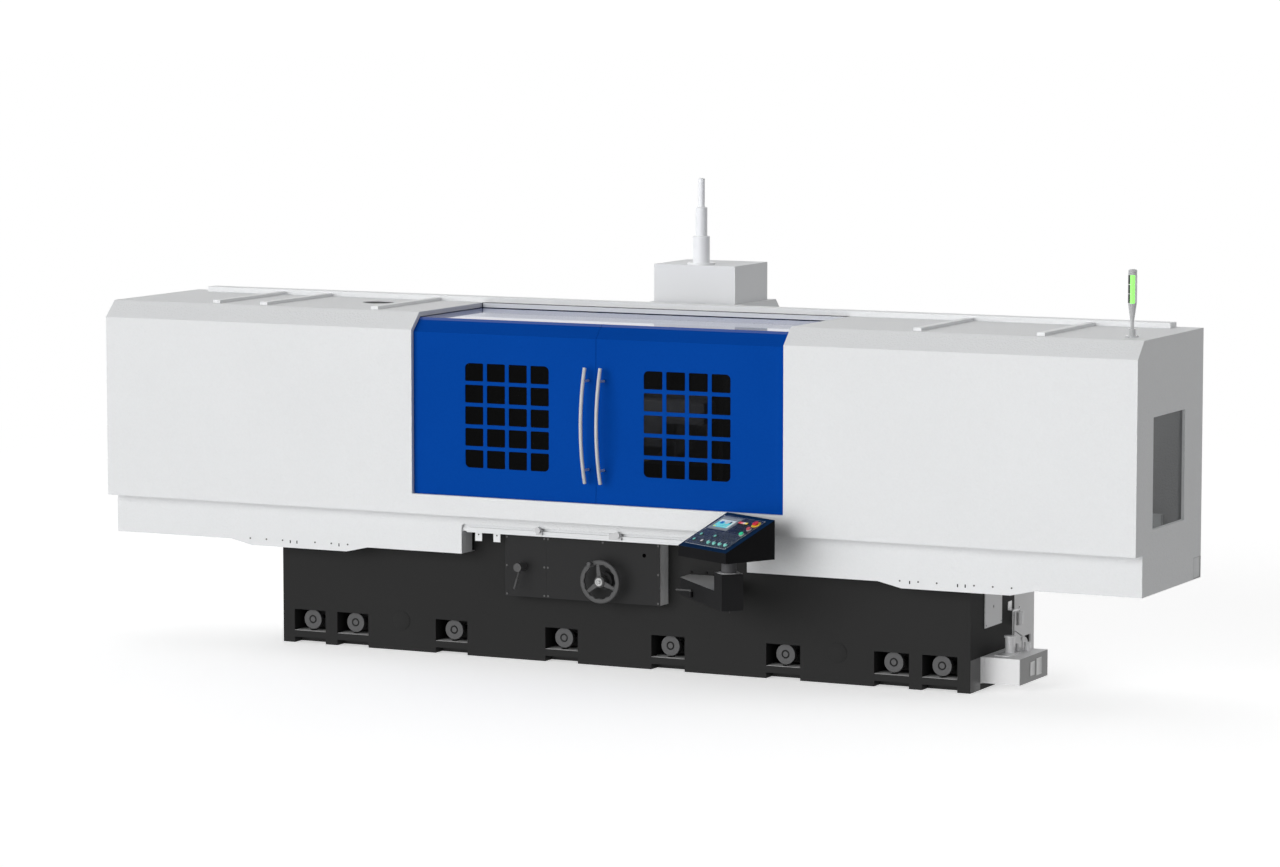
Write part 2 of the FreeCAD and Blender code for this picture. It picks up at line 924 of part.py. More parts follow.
def bed():
    """The cast bed, with foot pockets, anchor holes, a way trough and hollows from below."""
    body = block(-bed_half, bed_half, bed_front, bed_back, 0, bed_top)
    inner_half = bed_half - bed_lip
    cuts = [block(-inner_half, inner_half, bed_front + bed_lip, bed_back - bed_lip, bed_trough_floor,
                  bed_top)]
    for place in pocket_places():
        left = place - pocket_width / 2
        right = place + pocket_width / 2
        front_end = bed_front + pocket_depth
        back_start = bed_back - pocket_depth
        for y_low, y_high in ((bed_front, front_end), (back_start, bed_back)):
            cuts.append(block(left, right, y_low, y_high, pocket_bottom, pocket_top))
            cuts.append(block(left, right, y_low, y_high, 0, foot_height))
        for hole_y in (bed_front + anchor_inset, bed_back - anchor_inset):
            cuts.append(rod(anchor_radius, pocket_bottom, Vector(place, hole_y, 0), along_z))
    places = pocket_places()
    reach = pocket_width / 2 + bed_wall
    for left_place, right_place in zip(places[1:-2], places[2:-1]):
        cuts.append(block(left_place + reach, right_place - reach, bed_front + bed_wall,
                          bed_back - bed_wall,
                          0, bed_cavity_top))
    screw_start = Vector(-bed_half, bed_centre, feed_height)
    cuts.append(rod(feed_radius + fit_gap, bed_lip, screw_start, along_x))
    return body.cut(cuts)


def levelling_wheels():
    """The round adjusters that stand in the foot pockets."""
    wheels = []
    for place in pocket_places():
        centre_z = (pocket_bottom + pocket_top) / 2
        for wall_y, inward in ((bed_front, 1), (bed_back, -1)):
            direction = Vector(0, inward, 0)
            face = Vector(place, wall_y + inward * wheel_inset, centre_z)
            disc = rod(levelling_radius, levelling_thickness, face, direction)
            ring_start = face - direction * levelling_ring_height
            ring = rod(levelling_ring_radius, levelling_ring_height, ring_start, direction)
            stem = rod(levelling_stem_radius, pocket_depth - wheel_inset, face, direction)
            wheels.append(joined([disc, ring, stem]))
    return group(wheels)


def bed_end_covers():
    """A light plate with one hole on each end of the bed."""
    depth = bed_back - bed_front
    y_low = bed_front + end_plate_front_share * depth
    y_high = bed_front + end_plate_back_share * depth
    plate = block(bed_half, bed_half + end_plate_thickness, y_low, y_high, end_plate_bottom, end_plate_top)
    hole_y = y_low + end_plate_hole_y_share * (y_high - y_low)
    hole_z = end_plate_bottom + end_plate_hole_z_share * (end_plate_top - end_plate_bottom)
    plate = plate.cut(rod(end_plate_hole, end_plate_thickness, Vector(bed_half, hole_y, hole_z), along_x))
    return group([plate, mirrored(plate)])


def vee_outline(lift):
    """Section of the vee way above its shoulder, raised by a lift."""
    shoulder = vee_shoulder + lift
    left = (vee_centre - vee_half, shoulder)
    return [left, (vee_centre, vee_top + lift), (vee_centre + vee_half, shoulder)]


def guide_rails():
    """The vee way and the flat way of the bed, and the two rails of the cross bed."""
    half = bed_half - bed_lip
    vee_base = block(-half, half, vee_centre - vee_half, vee_centre + vee_half, bed_trough_floor,
                     vee_shoulder)
    vee = joined([vee_base, prism_along_x(vee_outline(0), -half, half)])
    flat = block(-half, half, flat_centre - flat_half, flat_centre + flat_half, bed_trough_floor, flat_top)
    rails = [vee, flat]
    for side in (-1, 1):
        centre = side * cross_rail_place
        rails.append(block(centre - cross_rail_half, centre + cross_rail_half, cross_front + cross_wall,
                           cross_back,
                           cross_top, cross_top + cross_rail_height))
    return group(rails)


def table():
    """The work table with its two way shoes and the block that holds the screw nut."""
    top = block(-table_half, table_half, table_front, table_back, table_under, table_top)
    vee_shoe = block(-table_half, table_half, vee_centre - table_shoe_half, vee_centre + table_shoe_half,
                     vee_shoulder + way_gap, table_under)
    groove = prism_along_x(vee_outline(way_gap), -table_half, table_half)
    flat_shoe = block(-table_half, table_half, flat_centre - table_shoe_half, flat_centre + table_shoe_half,
                      flat_top + way_gap, table_under)
    nut = block(-nut_half, nut_half, bed_centre - nut_half, bed_centre + nut_half,
                bed_trough_floor + overrun,
                table_under)
    body = joined([top, vee_shoe, flat_shoe, nut])
    screw_hole = rod(feed_radius + fit_gap, nut_half * 2, Vector(-nut_half, bed_centre, feed_height),
                     along_x)
    return body.cut([groove, screw_hole])


def magnetic_chuck():
    """The long magnetic chuck with clamping flanges and a back stop."""
    y_low = table_front + chuck_side
    y_high = table_back - chuck_side
    core = block(-chuck_half, chuck_half, y_low + chuck_flange, y_high - chuck_flange, table_top, chuck_top)
    flange = block(-chuck_half, chuck_half, y_low, y_high, table_top, table_top + chuck_flange_height)
    stop_front = y_high - chuck_flange
    stop = block(-chuck_half, chuck_half, stop_front, stop_front + chuck_stop_thickness, table_top,
                 chuck_top + chuck_stop_rise)
    return joined([core, flange, stop])


def feed_screws():
    """The lengthwise screw with its bearing blocks and motor, and the screw of the cross feed."""
    inner_half = bed_half - bed_lip
    screw = rod(feed_radius, inner_half + bed_half - feed_block_inset,
                Vector(-bed_half, bed_centre, feed_height),
                along_x)
    pieces = [screw]
    for left in (feed_block_inset - inner_half, inner_half - feed_block_inset - feed_block):
        bearing = block(left, left + feed_block, bed_centre - feed_block / 2, bed_centre + feed_block / 2,
                        bed_trough_floor, feed_height + feed_block / 2)
        bore = rod(feed_radius + fit_gap, feed_block, Vector(left, bed_centre, feed_height), along_x)
        pieces.append(bearing.cut(bore))
    half = servo_width / 2
    body = block(-bed_half - servo_length, -bed_half, bed_centre - half, bed_centre + half,
                 feed_height - half,
                 feed_height + half)
    cap_half = servo_cap_width / 2
    cap = block(-bed_half - servo_length - servo_cap, -bed_half - servo_length, bed_centre - cap_half,
                bed_centre + cap_half, feed_height - cap_half, feed_height + cap_half)
    pieces.append(joined([body, cap]))
    cross_start = cross_front + cross_wall
    cross_end = cross_back - servo_length
    cross_screw = rod(cross_screw_radius, cross_end - cross_start,
                      Vector(0, cross_start, cross_screw_height), along_y)
    pieces.append(cross_screw)
    near_block = block(-cross_block, cross_block, cross_start, cross_start + cross_block,
                       cross_trough_floor, cross_top)
    near_bore = rod(cross_screw_radius + fit_gap, cross_block, Vector(0, cross_start, cross_screw_height),
                    along_y)
    pieces.append(near_block.cut(near_bore))
    pieces.append(block(-cross_block, cross_block, cross_end, cross_back, cross_trough_floor, cross_top))
    return group(pieces)


def cross_bed():
    """The rear bed that carries the column, hollow from below."""
    body = block(-cross_half, cross_half, cross_front, cross_back, 0, cross_top)
    trough = block(-cross_trough_half, cross_trough_half, cross_front + cross_wall, cross_back,
                   cross_trough_floor,
                   cross_top)
    hollow = block(cross_wall - cross_half, cross_half - cross_wall, cross_front + cross_wall,
                   cross_back - cross_wall, 0, cross_trough_floor - cross_wall)
    return body.cut([trough, hollow])


def column():
    """The hollow column on its saddle, its two head rails, and the fixed nut and motor on top."""
    foot_top = column_foot + column_foot_height
    foot = block(-column_foot_half, column_foot_half, column_front, column_back, column_foot, foot_top)
    tower = block(-column_half, column_half, column_front, column_back, foot_top, column_top)
    pieces = [foot, tower]
    for side in (-1, 1):
        centre = side * cross_rail_place
        for y_low in (column_front, column_back - carriage_length):
            carriage = block(centre - carriage_half, centre + carriage_half, y_low, y_low + carriage_length,
                             cross_top + cross_rail_height - carriage_lap, column_foot)
            pieces.append(carriage)
    nut_low = cross_screw_height - cross_block / 2
    middle = (column_front + column_back) / 2
    pieces.append(block(-cross_block, cross_block, middle - cross_block, middle + cross_block, nut_low,
                        column_foot))
    for x_low in (-column_half, column_half - post_width):
        for y_low in (cover_front + sheet, cover_back - bevel_depth - post_width * 2):
            pieces.append(block(x_low, x_low + post_width, y_low, y_low + post_width, column_top,
                                cover_top - sheet))
    casting = joined(pieces)
    cuts = [block(column_wall - column_half, column_half - column_wall, column_front + column_wall,
                  column_back - column_wall, foot_top, column_top - column_wall)]
    cuts.append(block(-slot_half, slot_half, column_front, column_front + column_wall, slot_bottom,
                      slot_top))
    for side in (-1, 1):
        centre = side * cross_rail_place
        reach = cross_rail_half + way_gap
        cuts.append(block(centre - reach, centre + reach, column_front, column_back, cross_top,
                          cross_top + cross_rail_height + way_gap))
    cross_bore = Vector(0, middle - cross_block, cross_screw_height)
    cuts.append(rod(cross_screw_radius + fit_gap, cross_block * 2, cross_bore, along_y))
    cuts.append(rod(screw_radius * 2, column_wall, Vector(0, screw_place, column_top - column_wall),
                    along_z))
    casting = casting.cut(cuts)
    rails = []
    for side in (-1, 1):
        centre = side * head_rail_place
        rails.append(block(centre - head_rail_half, centre + head_rail_half, column_front - head_rail_depth,
                           column_front, head_rail_bottom, head_rail_top))
    nut = rod(nut_radius, nut_height, Vector(0, screw_place, column_top), along_z)
    nut = nut.cut(rod(screw_radius + fit_gap, nut_height, Vector(0, screw_place, column_top), along_z))
    servo_half = head_servo_width / 2
    servo_y = screw_place + head_servo_offset
    servo = block(-servo_half, servo_half, servo_y - servo_half, servo_y + servo_half, column_top,
                  column_top + head_servo_height)
    return group([casting] + rails + [nut, servo])


def cover_outline(inset):
    """Section of the column's cover, drawn in by an inset."""
    top = cover_top - inset
    back = cover_back - inset
    slope_start = cover_back - bevel_depth - inset / 2
    slope_end = cover_top - bevel_height - inset / 2
    return [(cover_front, cover_bottom), (cover_front, top), (slope_start, top), (back, slope_end),
            (back, cover_bottom)]


def column_cover():
    """The sheet cover round the column, open in front and below."""
    outer = prism_along_x(cover_outline(0), -cover_half, cover_half)
    inner = prism_along_x(cover_outline(sheet), sheet - cover_half, cover_half - sheet)
    pit_radius = nut_radius + way_gap
    nut_hole = rod(pit_radius, sheet, Vector(0, screw_place, cover_top - sheet), along_z)
    servo_half = head_servo_width / 2 + way_gap
    servo_y = screw_place + head_servo_offset
    servo_hole = block(-servo_half, servo_half, servo_y - servo_half, servo_y + servo_half,
                       cover_top - sheet,
                       cover_top)
    return outer.cut([inner, nut_hole, servo_hole])


def column_top_box():
    """The box on the cover, which hides the nut of the upright screw."""
    outer = block(-box_half, box_half, cover_front, box_back, cover_top, box_top)
    inner = block(sheet - box_half, box_half - sheet, cover_front + sheet, box_back - sheet, cover_top,
                  box_top - sheet)
    hole_radius = guard_lower_radius + box_hole_gap
    hole = rod(hole_radius, sheet, Vector(0, screw_place, box_top - sheet), along_z)
    return outer.cut([inner, hole])


def capped_tube(radius, wall, foot, top, bore):
    """A tube of the screw guard with a chamfered cap that leaves a bore for the next one."""
    profile = [(radius - wall, foot), (radius, foot), (radius, top - guard_chamfer),
               (radius - guard_chamfer, top)]
    profile += [(bore, top), (bore, top - guard_cap), (radius - wall, top - guard_cap)]
    return turned(profile, Vector(0, screw_place, 0))


def guard_lower_tube():
    bore = guard_middle_radius + guard_gap
    barrel = capped_tube(guard_lower_radius, guard_lower_wall, guard_lower_foot, guard_lower_top, bore)
    start = Vector(0, screw_place, box_top)
    flange = rod(guard_flange_radius, guard_flange_height, start, along_z)
    flange = flange.cut(rod(guard_lower_radius - guard_lower_wall, guard_flange_height, start, along_z))
    return joined([barrel, flange])


def guard_middle_tube():
    foot = guard_middle_top - guard_tube_length
    bore = guard_upper_radius + guard_gap
    return capped_tube(guard_middle_radius, guard_middle_wall, foot, guard_middle_top, bore)


def guard_upper_tube():
    """The innermost tube, closed on top, which stands on the end of the screw."""
    foot = guard_upper_top - guard_tube_length
    inner = guard_upper_radius - guard_upper_wall
    profile = [(inner, foot), (guard_upper_radius, foot),
               (guard_upper_radius, guard_upper_top - guard_chamfer)]
    profile += [(guard_upper_radius - guard_chamfer, guard_upper_top), (0, guard_upper_top)]
    profile += [(0, guard_upper_top - guard_cap), (inner, guard_upper_top - guard_cap)]
    return turned(profile, Vector(0, screw_place, 0))


def z_screw():
    """The upright screw, which doesn't turn, with the arm that ties it to the wheelhead."""
    arm = block(-screw_arm_half, screw_arm_half, head_plate_back, screw_place + screw_arm_reach,
                screw_arm_bottom, screw_arm_top)
    length = guard_upper_top - guard_cap - screw_arm_top
    screw = rod(screw_radius, length, Vector(0, screw_place, screw_arm_top), along_z)
    return joined([arm, screw])


def wheelhead():
    """The head casting: slide plate, carriages, spindle body and nose."""
    plate = block(-head_plate_half, head_plate_half, head_plate_front, head_plate_back, head_plate_bottom,
                  head_plate_top)
    body = rounded_along_y(-head_body_half, head_body_half, head_body_front, head_plate_front,
                           spindle_height - head_body_half, spindle_height + head_body_half, head_edge)
    nose = rod(head_nose_radius, head_body_front - head_nose_front,
               Vector(0, head_nose_front, spindle_height),
               along_y)
    pieces = [plate, body, nose]
    for side in (-1, 1):
        centre = side * head_rail_place
        for z_low in (head_plate_bottom, head_plate_top - head_carriage_height):
            pieces.append(block(centre - carriage_half, centre + carriage_half, head_plate_back,
                                head_carriage_back,
                                z_low, z_low + head_carriage_height))
    cuts = [rod(spindle_radius + fit_gap, spindle_length + way_gap,
                Vector(0, head_nose_front, spindle_height),
                along_y)]
    for side in (-1, 1):
        centre = side * head_rail_place
        reach = head_rail_half + way_gap
        cuts.append(block(centre - reach, centre + reach, column_front - head_rail_depth - way_gap,
                          head_carriage_back, head_plate_bottom, head_plate_top))
    return joined(pieces).cut(cuts)


def grinding_wheel():
    """The straight abrasive wheel."""
    start = Vector(0, wheel_front, spindle_height)
    width = wheel_back - wheel_front
    return rod(wheel_radius, width, start, along_y).cut(rod(wheel_bore, width, start, along_y))


def wheel_flange():
    """The hub with its two flanges, the nut and the spindle behind it."""
    front = rod(flange_radius, flange_thickness, Vector(0, wheel_front - flange_thickness, spindle_height),
                along_y)
    hub = rod(wheel_bore, wheel_back - wheel_front, Vector(0, wheel_front, spindle_height), along_y)
    back = rod(flange_radius, flange_thickness, Vector(0, wheel_back, spindle_height), along_y)
    shaft_start = wheel_back + flange_thickness
    shaft_length = head_nose_front + spindle_length - shaft_start
    shaft = rod(spindle_radius, shaft_length, Vector(0, shaft_start, spindle_height), along_y)
    nut_start = wheel_front - flange_thickness - flange_nut_height
    nut = rod(flange_nut_radius, flange_nut_height, Vector(0, nut_start, spindle_height), along_y)
    return joined([front, hub, back, shaft, nut])


def guard_form(radius, y_low, y_high, bottom):
    """A half round over two straight flanks."""
    crown = rod(radius, y_high - y_low, Vector(0, y_low, spindle_height), along_y)
    flanks = block(-radius, radius, y_low, y_high, bottom, spindle_height)
    upper = block(-radius, radius, y_low, y_high, spindle_height, spindle_height + radius)
    return crown.common(upper).fuse(flanks)


def wheel_guard():
    """The guard over the wheel with the coolant box on its right and the nozzle pipe below that."""
    outer = guard_form(guard_radius, guard_front, head_nose_front, guard_flank_bottom)
    coolant_top = spindle_height + guard_radius
    box = rounded_along_y(0, coolant_box_end, guard_front, head_nose_front, coolant_box_bottom, coolant_top,
                          coolant_box_edge)
    inner = guard_form(guard_radius - guard_wall, guard_front + guard_wall, head_nose_front - guard_wall,
                       guard_flank_bottom)
    shaft_hole = rod(guard_back_hole, guard_wall, Vector(0, head_nose_front - guard_wall, spindle_height),
                     along_y)
    shell = joined([outer, box]).cut([inner, shaft_hole])
    middle = (wheel_front + wheel_back) / 2
    nozzle = rod(nozzle_radius, coolant_box_bottom - nozzle_bottom,
                 Vector(nozzle_place, middle, nozzle_bottom),
                 along_z)
    return joined([shell, nozzle])


def apron_housing():
    """The gear case on the front of the bed, open towards its covers, with the handwheel boss."""
    cover_back_y = apron_front + apron_cover
    body = block(-apron_left, apron_right, cover_back_y, bed_front, apron_bottom, apron_top)
    hollow = block(apron_wall - apron_left, apron_right - apron_wall, cover_back_y, bed_front - apron_wall,
                   apron_bottom + apron_wall, apron_top - apron_wall)
    body = body.cut(hollow)
    boss_start = Vector(0, apron_front - handwheel_boss_height, handwheel_height)
    boss = rod(handwheel_boss_radius, handwheel_boss_height, boss_start, along_y)
    boss = boss.cut(rod(handwheel_shaft_radius + fit_gap, handwheel_boss_height, boss_start, along_y))
    return group([body, boss])


def apron_covers():
    """Two flat covers on the gear case, and the rubber plug in the right-hand one."""
    seam = -apron_left + apron_seam_share * (apron_left + apron_right)
    back = apron_front + apron_cover
    left = block(-apron_left, seam - way_gap, apron_front, back, apron_bottom, apron_top)
    right = block(seam + way_gap, apron_right, apron_front, back, apron_bottom, apron_top)
    shaft_hole = rod(handwheel_shaft_radius + guard_gap, apron_cover,
                     Vector(0, apron_front, handwheel_height),
                     along_y)
    lever_start = Vector(-lever_place, apron_front, lever_height)
    lever_hole = rod(lever_shaft_radius + guard_gap, apron_cover, lever_start, along_y)
    plug_x = apron_plug_x_share * apron_right
    plug_z = apron_bottom + apron_plug_z_share * (apron_top - apron_bottom)
    plug_start = Vector(plug_x, apron_front, plug_z)
    plug_hole = rod(apron_plug_radius, apron_cover, plug_start, along_y)
    plug = rod(apron_plug_radius, apron_cover, plug_start, along_y)
    return group([left.cut(lever_hole), right.cut([shaft_hole, plug_hole]), plug])


def cover_screws():
    """Screws of the two covers and of the skirt brackets."""
    seam = -apron_left + apron_seam_share * (apron_left + apron_right)
    inset = apron_screw_inset
    columns = [inset - apron_left, seam - inset, seam + inset, (seam + apron_right) / 2,
               apron_right - inset]
    middle = (apron_bottom + apron_top) / 2
    rows = [apron_bottom + inset, middle, apron_top - inset]
    screws = []
    for x in columns:
        for z in rows:
            if (x, z) == (columns[3], middle):
                continue
            start = Vector(x, apron_front - apron_screw_height, z)
            screws.append(rod(apron_screw_radius, apron_screw_height, start, along_y))
    for share in (bracket_left_share, bracket_right_share):
        for step in bracket_screw_steps:
            x = share * casing_half + step * bracket_screw_pitch
            start = Vector(x, skirt_inset - bracket_screw_height, skirt_bottom + bracket_screw_rise)
            screws.append(rod(bracket_screw_radius, bracket_screw_height, start, along_y))
    return group(screws)


def handwheel():
    """Rim, three spokes, hub and shaft of the table handwheel."""
    centre = Vector(0, handwheel_face, handwheel_height)
    rim = Part.makeTorus(handwheel_radius, handwheel_rim, centre, along_y)
    hub_back = apron_front - handwheel_boss_height - knob_gap
    hub_start = Vector(0, handwheel_hub_front, handwheel_height)
    hub = rod(handwheel_hub_radius, hub_back - handwheel_hub_front, hub_start, along_y)
    shaft = rod(handwheel_shaft_radius, handwheel_shaft_end - handwheel_hub_front, hub_start, along_y)
    pieces = [rim, hub, shaft]
    for number in range(handwheel_spokes):
        angle = math.radians(handwheel_turn + number * 360 / handwheel_spokes)
        direction = Vector(math.cos(angle), 0, math.sin(angle))
        pieces.append(rod(handwheel_spoke_radius, handwheel_radius, centre, direction))
    knob_at = knob_point()
    pin_length = handwheel_face - knob_front() - knob_gap
    pieces.append(rod(knob_pin_radius, pin_length, knob_at + along_y * knob_gap, along_y))
    return joined(pieces)


def knob_front():
    return handwheel_face - handwheel_rim - knob_gap - knob_length


def knob_point():
    angle = math.radians(knob_angle)
    x = handwheel_radius * math.cos(angle)
    return Vector(x, knob_front(), handwheel_height + handwheel_radius * math.sin(angle))


def handwheel_knob():
    """The turning knob on the rim, rounded at its front."""
    knob = rod(knob_radius, knob_length, knob_point(), along_y)
    front = [edge for edge in knob.Edges if abs(edge.CenterOfMass.y - knob_front()) < knob_gap / 2]
    knob = knob.makeFillet(knob_radius / 2, front)
    bore_start = knob_point() + along_y * knob_gap / 2
    return knob.cut(rod(knob_pin_radius + fit_gap, knob_length, bore_start, along_y))


def reversing_lever():
    """Hub and leaning rod with a thicker grip."""
    front = apron_front - lever_hub_length
    hub_start = Vector(-lever_place, front, lever_height)
    hub = rod(lever_hub_radius, lever_hub_length - lever_gap, hub_start, along_y)
    shaft = rod(lever_shaft_radius, bed_front - apron_wall - front - overrun, hub_start, along_y)
    start = Vector(-lever_place, apron_front - lever_start, lever_height)
    direction = Vector(-lever_side, -lever_lean, -lever_drop)
    stem = rod(lever_rod_radius, direction.Length, start, direction)
    grip_start = start + direction * (1 - lever_grip_share)
    grip = rod(lever_grip_radius, direction.Length * lever_grip_share, grip_start, direction)
    return joined([hub, shaft, stem, grip])


def stroke_rail():
    """The grooved rail across the recess, its end brackets and two drilled tabs."""
    back = skirt_inset + stroke_depth
    bar = block(-stroke_half, stroke_half, skirt_inset, back, stroke_bottom, stroke_top)
    middle = (stroke_bottom + stroke_top) / 2
    half = stroke_groove / 2
    bar = bar.cut(block(-stroke_half, stroke_half, skirt_inset, skirt_inset + stroke_groove_depth,
                        middle - half,
                        middle + half))
    pieces = [bar]
    plate_front = back - sheet * 2
    for x_low, x_high in ((-recess_half, -stroke_half), (stroke_half, recess_half)):
        pieces.append(block(x_low, x_high, plate_front, back, stroke_bottom + overrun,
                            stroke_top - overrun))
    tab_front = back - sheet
    for share in tab_shares:
        left = share * stroke_half - tab_width / 2
        tab = block(left, left + tab_width, tab_front, back, stroke_bottom - tab_drop, stroke_bottom)
        hole_at = Vector(left + tab_width / 2, tab_front, stroke_bottom - tab_hole_drop)
        pieces.append(tab.cut(rod(tab_hole, sheet, hole_at, along_y)))
    return joined(pieces)


def stroke_stop(share, reach):
    """A stop that slides on the rail, with its clamping knob."""
    centre = share * stroke_half
    back = skirt_inset - stop_gap
    front = back - stop_plate
    plate = block(centre - reach, centre + stop_half, front, back, stroke_top - stop_drop,
                  stroke_top + stop_rise)
    hook_low = stroke_top + stop_gap
    hook = block(centre - reach, centre + stop_half, front, skirt_inset + stroke_depth, hook_low,
                 hook_low + stop_hook)
    knob_start = Vector(centre, front - stop_knob_length, stroke_top + stop_knob_rise)
    knob = rod(stop_knob_radius, stop_knob_length, knob_start, along_y)
    return joined([plate, hook, knob])


def turned_square(half, z_low, z_high):
    """A square post about the console post, turned with the arm."""
    solid = block(post_x - half, post_x + half, post_y - half, post_y + half, z_low, z_high)
    solid.rotate(Vector(post_x, post_y, 0), along_z, arm_turn)
    return solid


def arm_outline():
    """Plan of the console arm from the bed to its end box."""
    reach = arm_box_half * math.sqrt(2)
    left_corner = (post_x - reach, post_y)
    back_corner = (post_x, post_y + reach)
    elbow_y = post_y + post_x - reach - arm_root_left
    return [(arm_root_left, bed_front), (arm_root_left, elbow_y), left_corner, back_corner,
            (arm_root_right, bed_front)]


def latch_point():
    """The upright pin of the latch in front of the slanting side of the arm."""
    outline = arm_outline()
    elbow = outline[1]
    corner = outline[2]
    x = elbow[0] + latch_share * (corner[0] - elbow[0]) - latch_stand * math.sin(math.radians(arm_turn))
    y = elbow[1] + latch_share * (corner[1] - elbow[1]) - latch_stand * math.cos(math.radians(arm_turn))
    return Vector(x, y, latch_boss_bottom)


def console_arm():
    """The hollow bar from the bed, the upright box at its end and the round post."""
    outline = arm_outline()
    bar = prism_along_z(outline, arm_bar_bottom, arm_bar_top)
    plan = Part.Face(Part.makePolygon([Vector(x, y, arm_bar_bottom + arm_wall)
                                       for x, y in outline + outline[:1]]))
    hollow = plan.makeOffset2D(-arm_wall).extrude(Vector(0, 0, arm_bar_top - arm_bar_bottom - arm_wall * 2))
    end_box = turned_square(arm_box_half, arm_bar_bottom, arm_box_top)
    end_hollow = turned_square(arm_box_half - arm_wall, arm_bar_bottom + arm_wall, arm_box_top - arm_wall)
    body = joined([bar, end_box]).cut([hollow, end_hollow])
    post_start = Vector(post_x, post_y, arm_bar_bottom + arm_wall)
    post = tube(post_radius, post_wall, console_bottom + post_lap - arm_bar_bottom - arm_wall, post_start)
    body = body.cut(rod(post_radius, arm_wall, Vector(post_x, post_y, arm_box_top - arm_wall), along_z))
    collar_start = Vector(post_x, post_y, console_bottom - post_collar_height)
    collar = rod(post_collar_radius, post_collar_height, collar_start, along_z)
    post = joined([post, collar.cut(rod(post_radius, post_collar_height, collar_start, along_z))])
    boss_start = latch_point()
    boss = rod(latch_boss_radius, latch_boss_height, boss_start, along_z)
    web_back = boss_start + Vector(0, latch_boss_radius, 0)
    web = block(web_back.x - latch_boss_radius, web_back.x + latch_boss_radius, boss_start.y,
                boss_start.y + latch_stand * 2, latch_boss_bottom, latch_boss_bottom + latch_boss_height)
    web = web.cut(hollow)
    boss = joined([boss, web])
    hole_start = boss_start + along_z * (latch_boss_height - latch_pin_height)
    boss = boss.cut(rod(latch_pin_radius + fit_gap, latch_pin_height, hole_start, along_z))
    return joined([body, post, boss])


def arm_latch():
    """The small clamping lever on the side of the arm."""
    pin_top = latch_point() + along_z * (latch_boss_height + latch_gap)
    pin_start = pin_top - along_z * (latch_pin_height - overrun)
    pin = rod(latch_pin_radius, latch_pin_height - overrun + latch_rod_radius * 2, pin_start, along_z)
    lever_start = pin_top + along_z * latch_rod_radius
    lever = rod(latch_rod_radius, latch_rod_length, lever_start, along_x * -1)
    tip = Part.makeSphere(latch_rod_radius, lever_start - along_x * latch_rod_length)
    return joined([pin, lever, tip])


def slope():
    """Angle of the console's working face."""
    return math.degrees(math.atan2(console_back_height - console_front_height, console_depth))


def placed_console(shape):
    """Moves a piece from the console's own frame to its rest place on the post."""
    placed = shape.copy()
    placed.rotate(Vector(0, 0, 0), along_z, -console_turn)
    placed.translate(Vector(console_x, console_y, console_bottom))
    return placed


def on_face(shape):
    """Lays a piece drawn flat, front edge at y = 0, on the console's sloping face."""
    laid = shape.copy()
    laid.rotate(Vector(0, 0, 0), along_x, slope())
    laid.translate(Vector(0, -console_depth / 2, console_front_height))
    return laid


def face_controls():
    """Place and stem radius of every control on the face."""
    controls = [(button_column, emergency_row, emergency_stem_radius)]
    controls += [(button_column, stop_button_row, button_stem_radius)]
    controls += [(button_column, start_button_row, button_stem_radius)]
    controls += [(x, selector_row, selector_stem_radius) for x in selector_columns()]
    return controls


def selector_columns():
    pitch = (selector_last - selector_first) / (selector_places - 1)
    return [selector_first + number * pitch for number in range(selector_places)]


def stem_holes():
    """Cutting tools for the stems of the controls, through panel and casing."""
    deep = panel_thickness + console_wall * 2
    holes = [rod(radius + stem_gap, deep * 2, Vector(x, y, -deep), along_z)
             for x, y, radius in face_controls()]
    return on_face(group(holes))


def console_outline(inset):
    """Side view of the console, drawn in by an inset on every side."""
    front = inset - console_depth / 2
    back = console_depth / 2 - inset
    rise = (console_back_height - console_front_height) / console_depth
    drop = inset * math.sqrt(1 + rise ** 2)
    front_top = console_front_height + rise * inset - drop
    back_top = console_back_height - rise * inset - drop
    return [(front, inset), (front, front_top), (back, back_top), (back, inset)]


def console_shell():
    """The wedge-shaped console casing with a socket for the post."""
    half = console_width / 2
    outer = prism_along_x(console_outline(0), -half, half)
    inner = prism_along_x(console_outline(console_wall), console_wall - half, half - console_wall)
    shell = placed_console(outer.cut([inner, stem_holes()]))
    socket_start = Vector(post_x, post_y, console_bottom)
    return shell.cut(rod(post_radius + fit_gap, console_wall, socket_start, along_z))


def console_panel():
    """The flat operating panel with its holes, and the display in its window."""
    plate = block(-panel_left, panel_right, panel_front, panel_back, 0, panel_thickness)
    window = block(-display_left, -display_right, display_front, display_back, 0, panel_thickness)
    plate = on_face(plate.cut(window)).cut(stem_holes())
    display = block(-display_left, -display_right, display_front, display_back, 0, display_thickness)
    return placed_console(group([plate, on_face(display)]))


def push_control(row, head_radius, head_height, stem_radius, stand):
    """A button: a head on a stem that runs down through the panel."""
    low = panel_thickness + stand
    head = rod(head_radius, head_height, Vector(button_column, row, low), along_z)
    stem = rod(stem_radius, low + stem_depth, Vector(button_column, row, -stem_depth), along_z)
    return placed_console(on_face(joined([head, stem])))


def selector(x):
    """A rotary switch with a raised pointer."""
    base = rod(selector_radius, selector_height, Vector(x, selector_row, panel_thickness + stem_gap),
               along_z)
    pointer_low = panel_thickness + stem_gap + selector_height
    pointer = block(x - selector_pointer_half, x + selector_pointer_half, selector_row - selector_radius,
                    selector_row + selector_radius, pointer_low, pointer_low + selector_pointer_height)
    reach = rod(selector_radius, selector_pointer_height, Vector(x, selector_row, pointer_low), along_z)
    stem = rod(selector_stem_radius, panel_thickness + stem_gap + stem_depth,
               Vector(x, selector_row, -stem_depth),
               along_z)
    return placed_console(on_face(joined([base, pointer.common(reach), stem])))


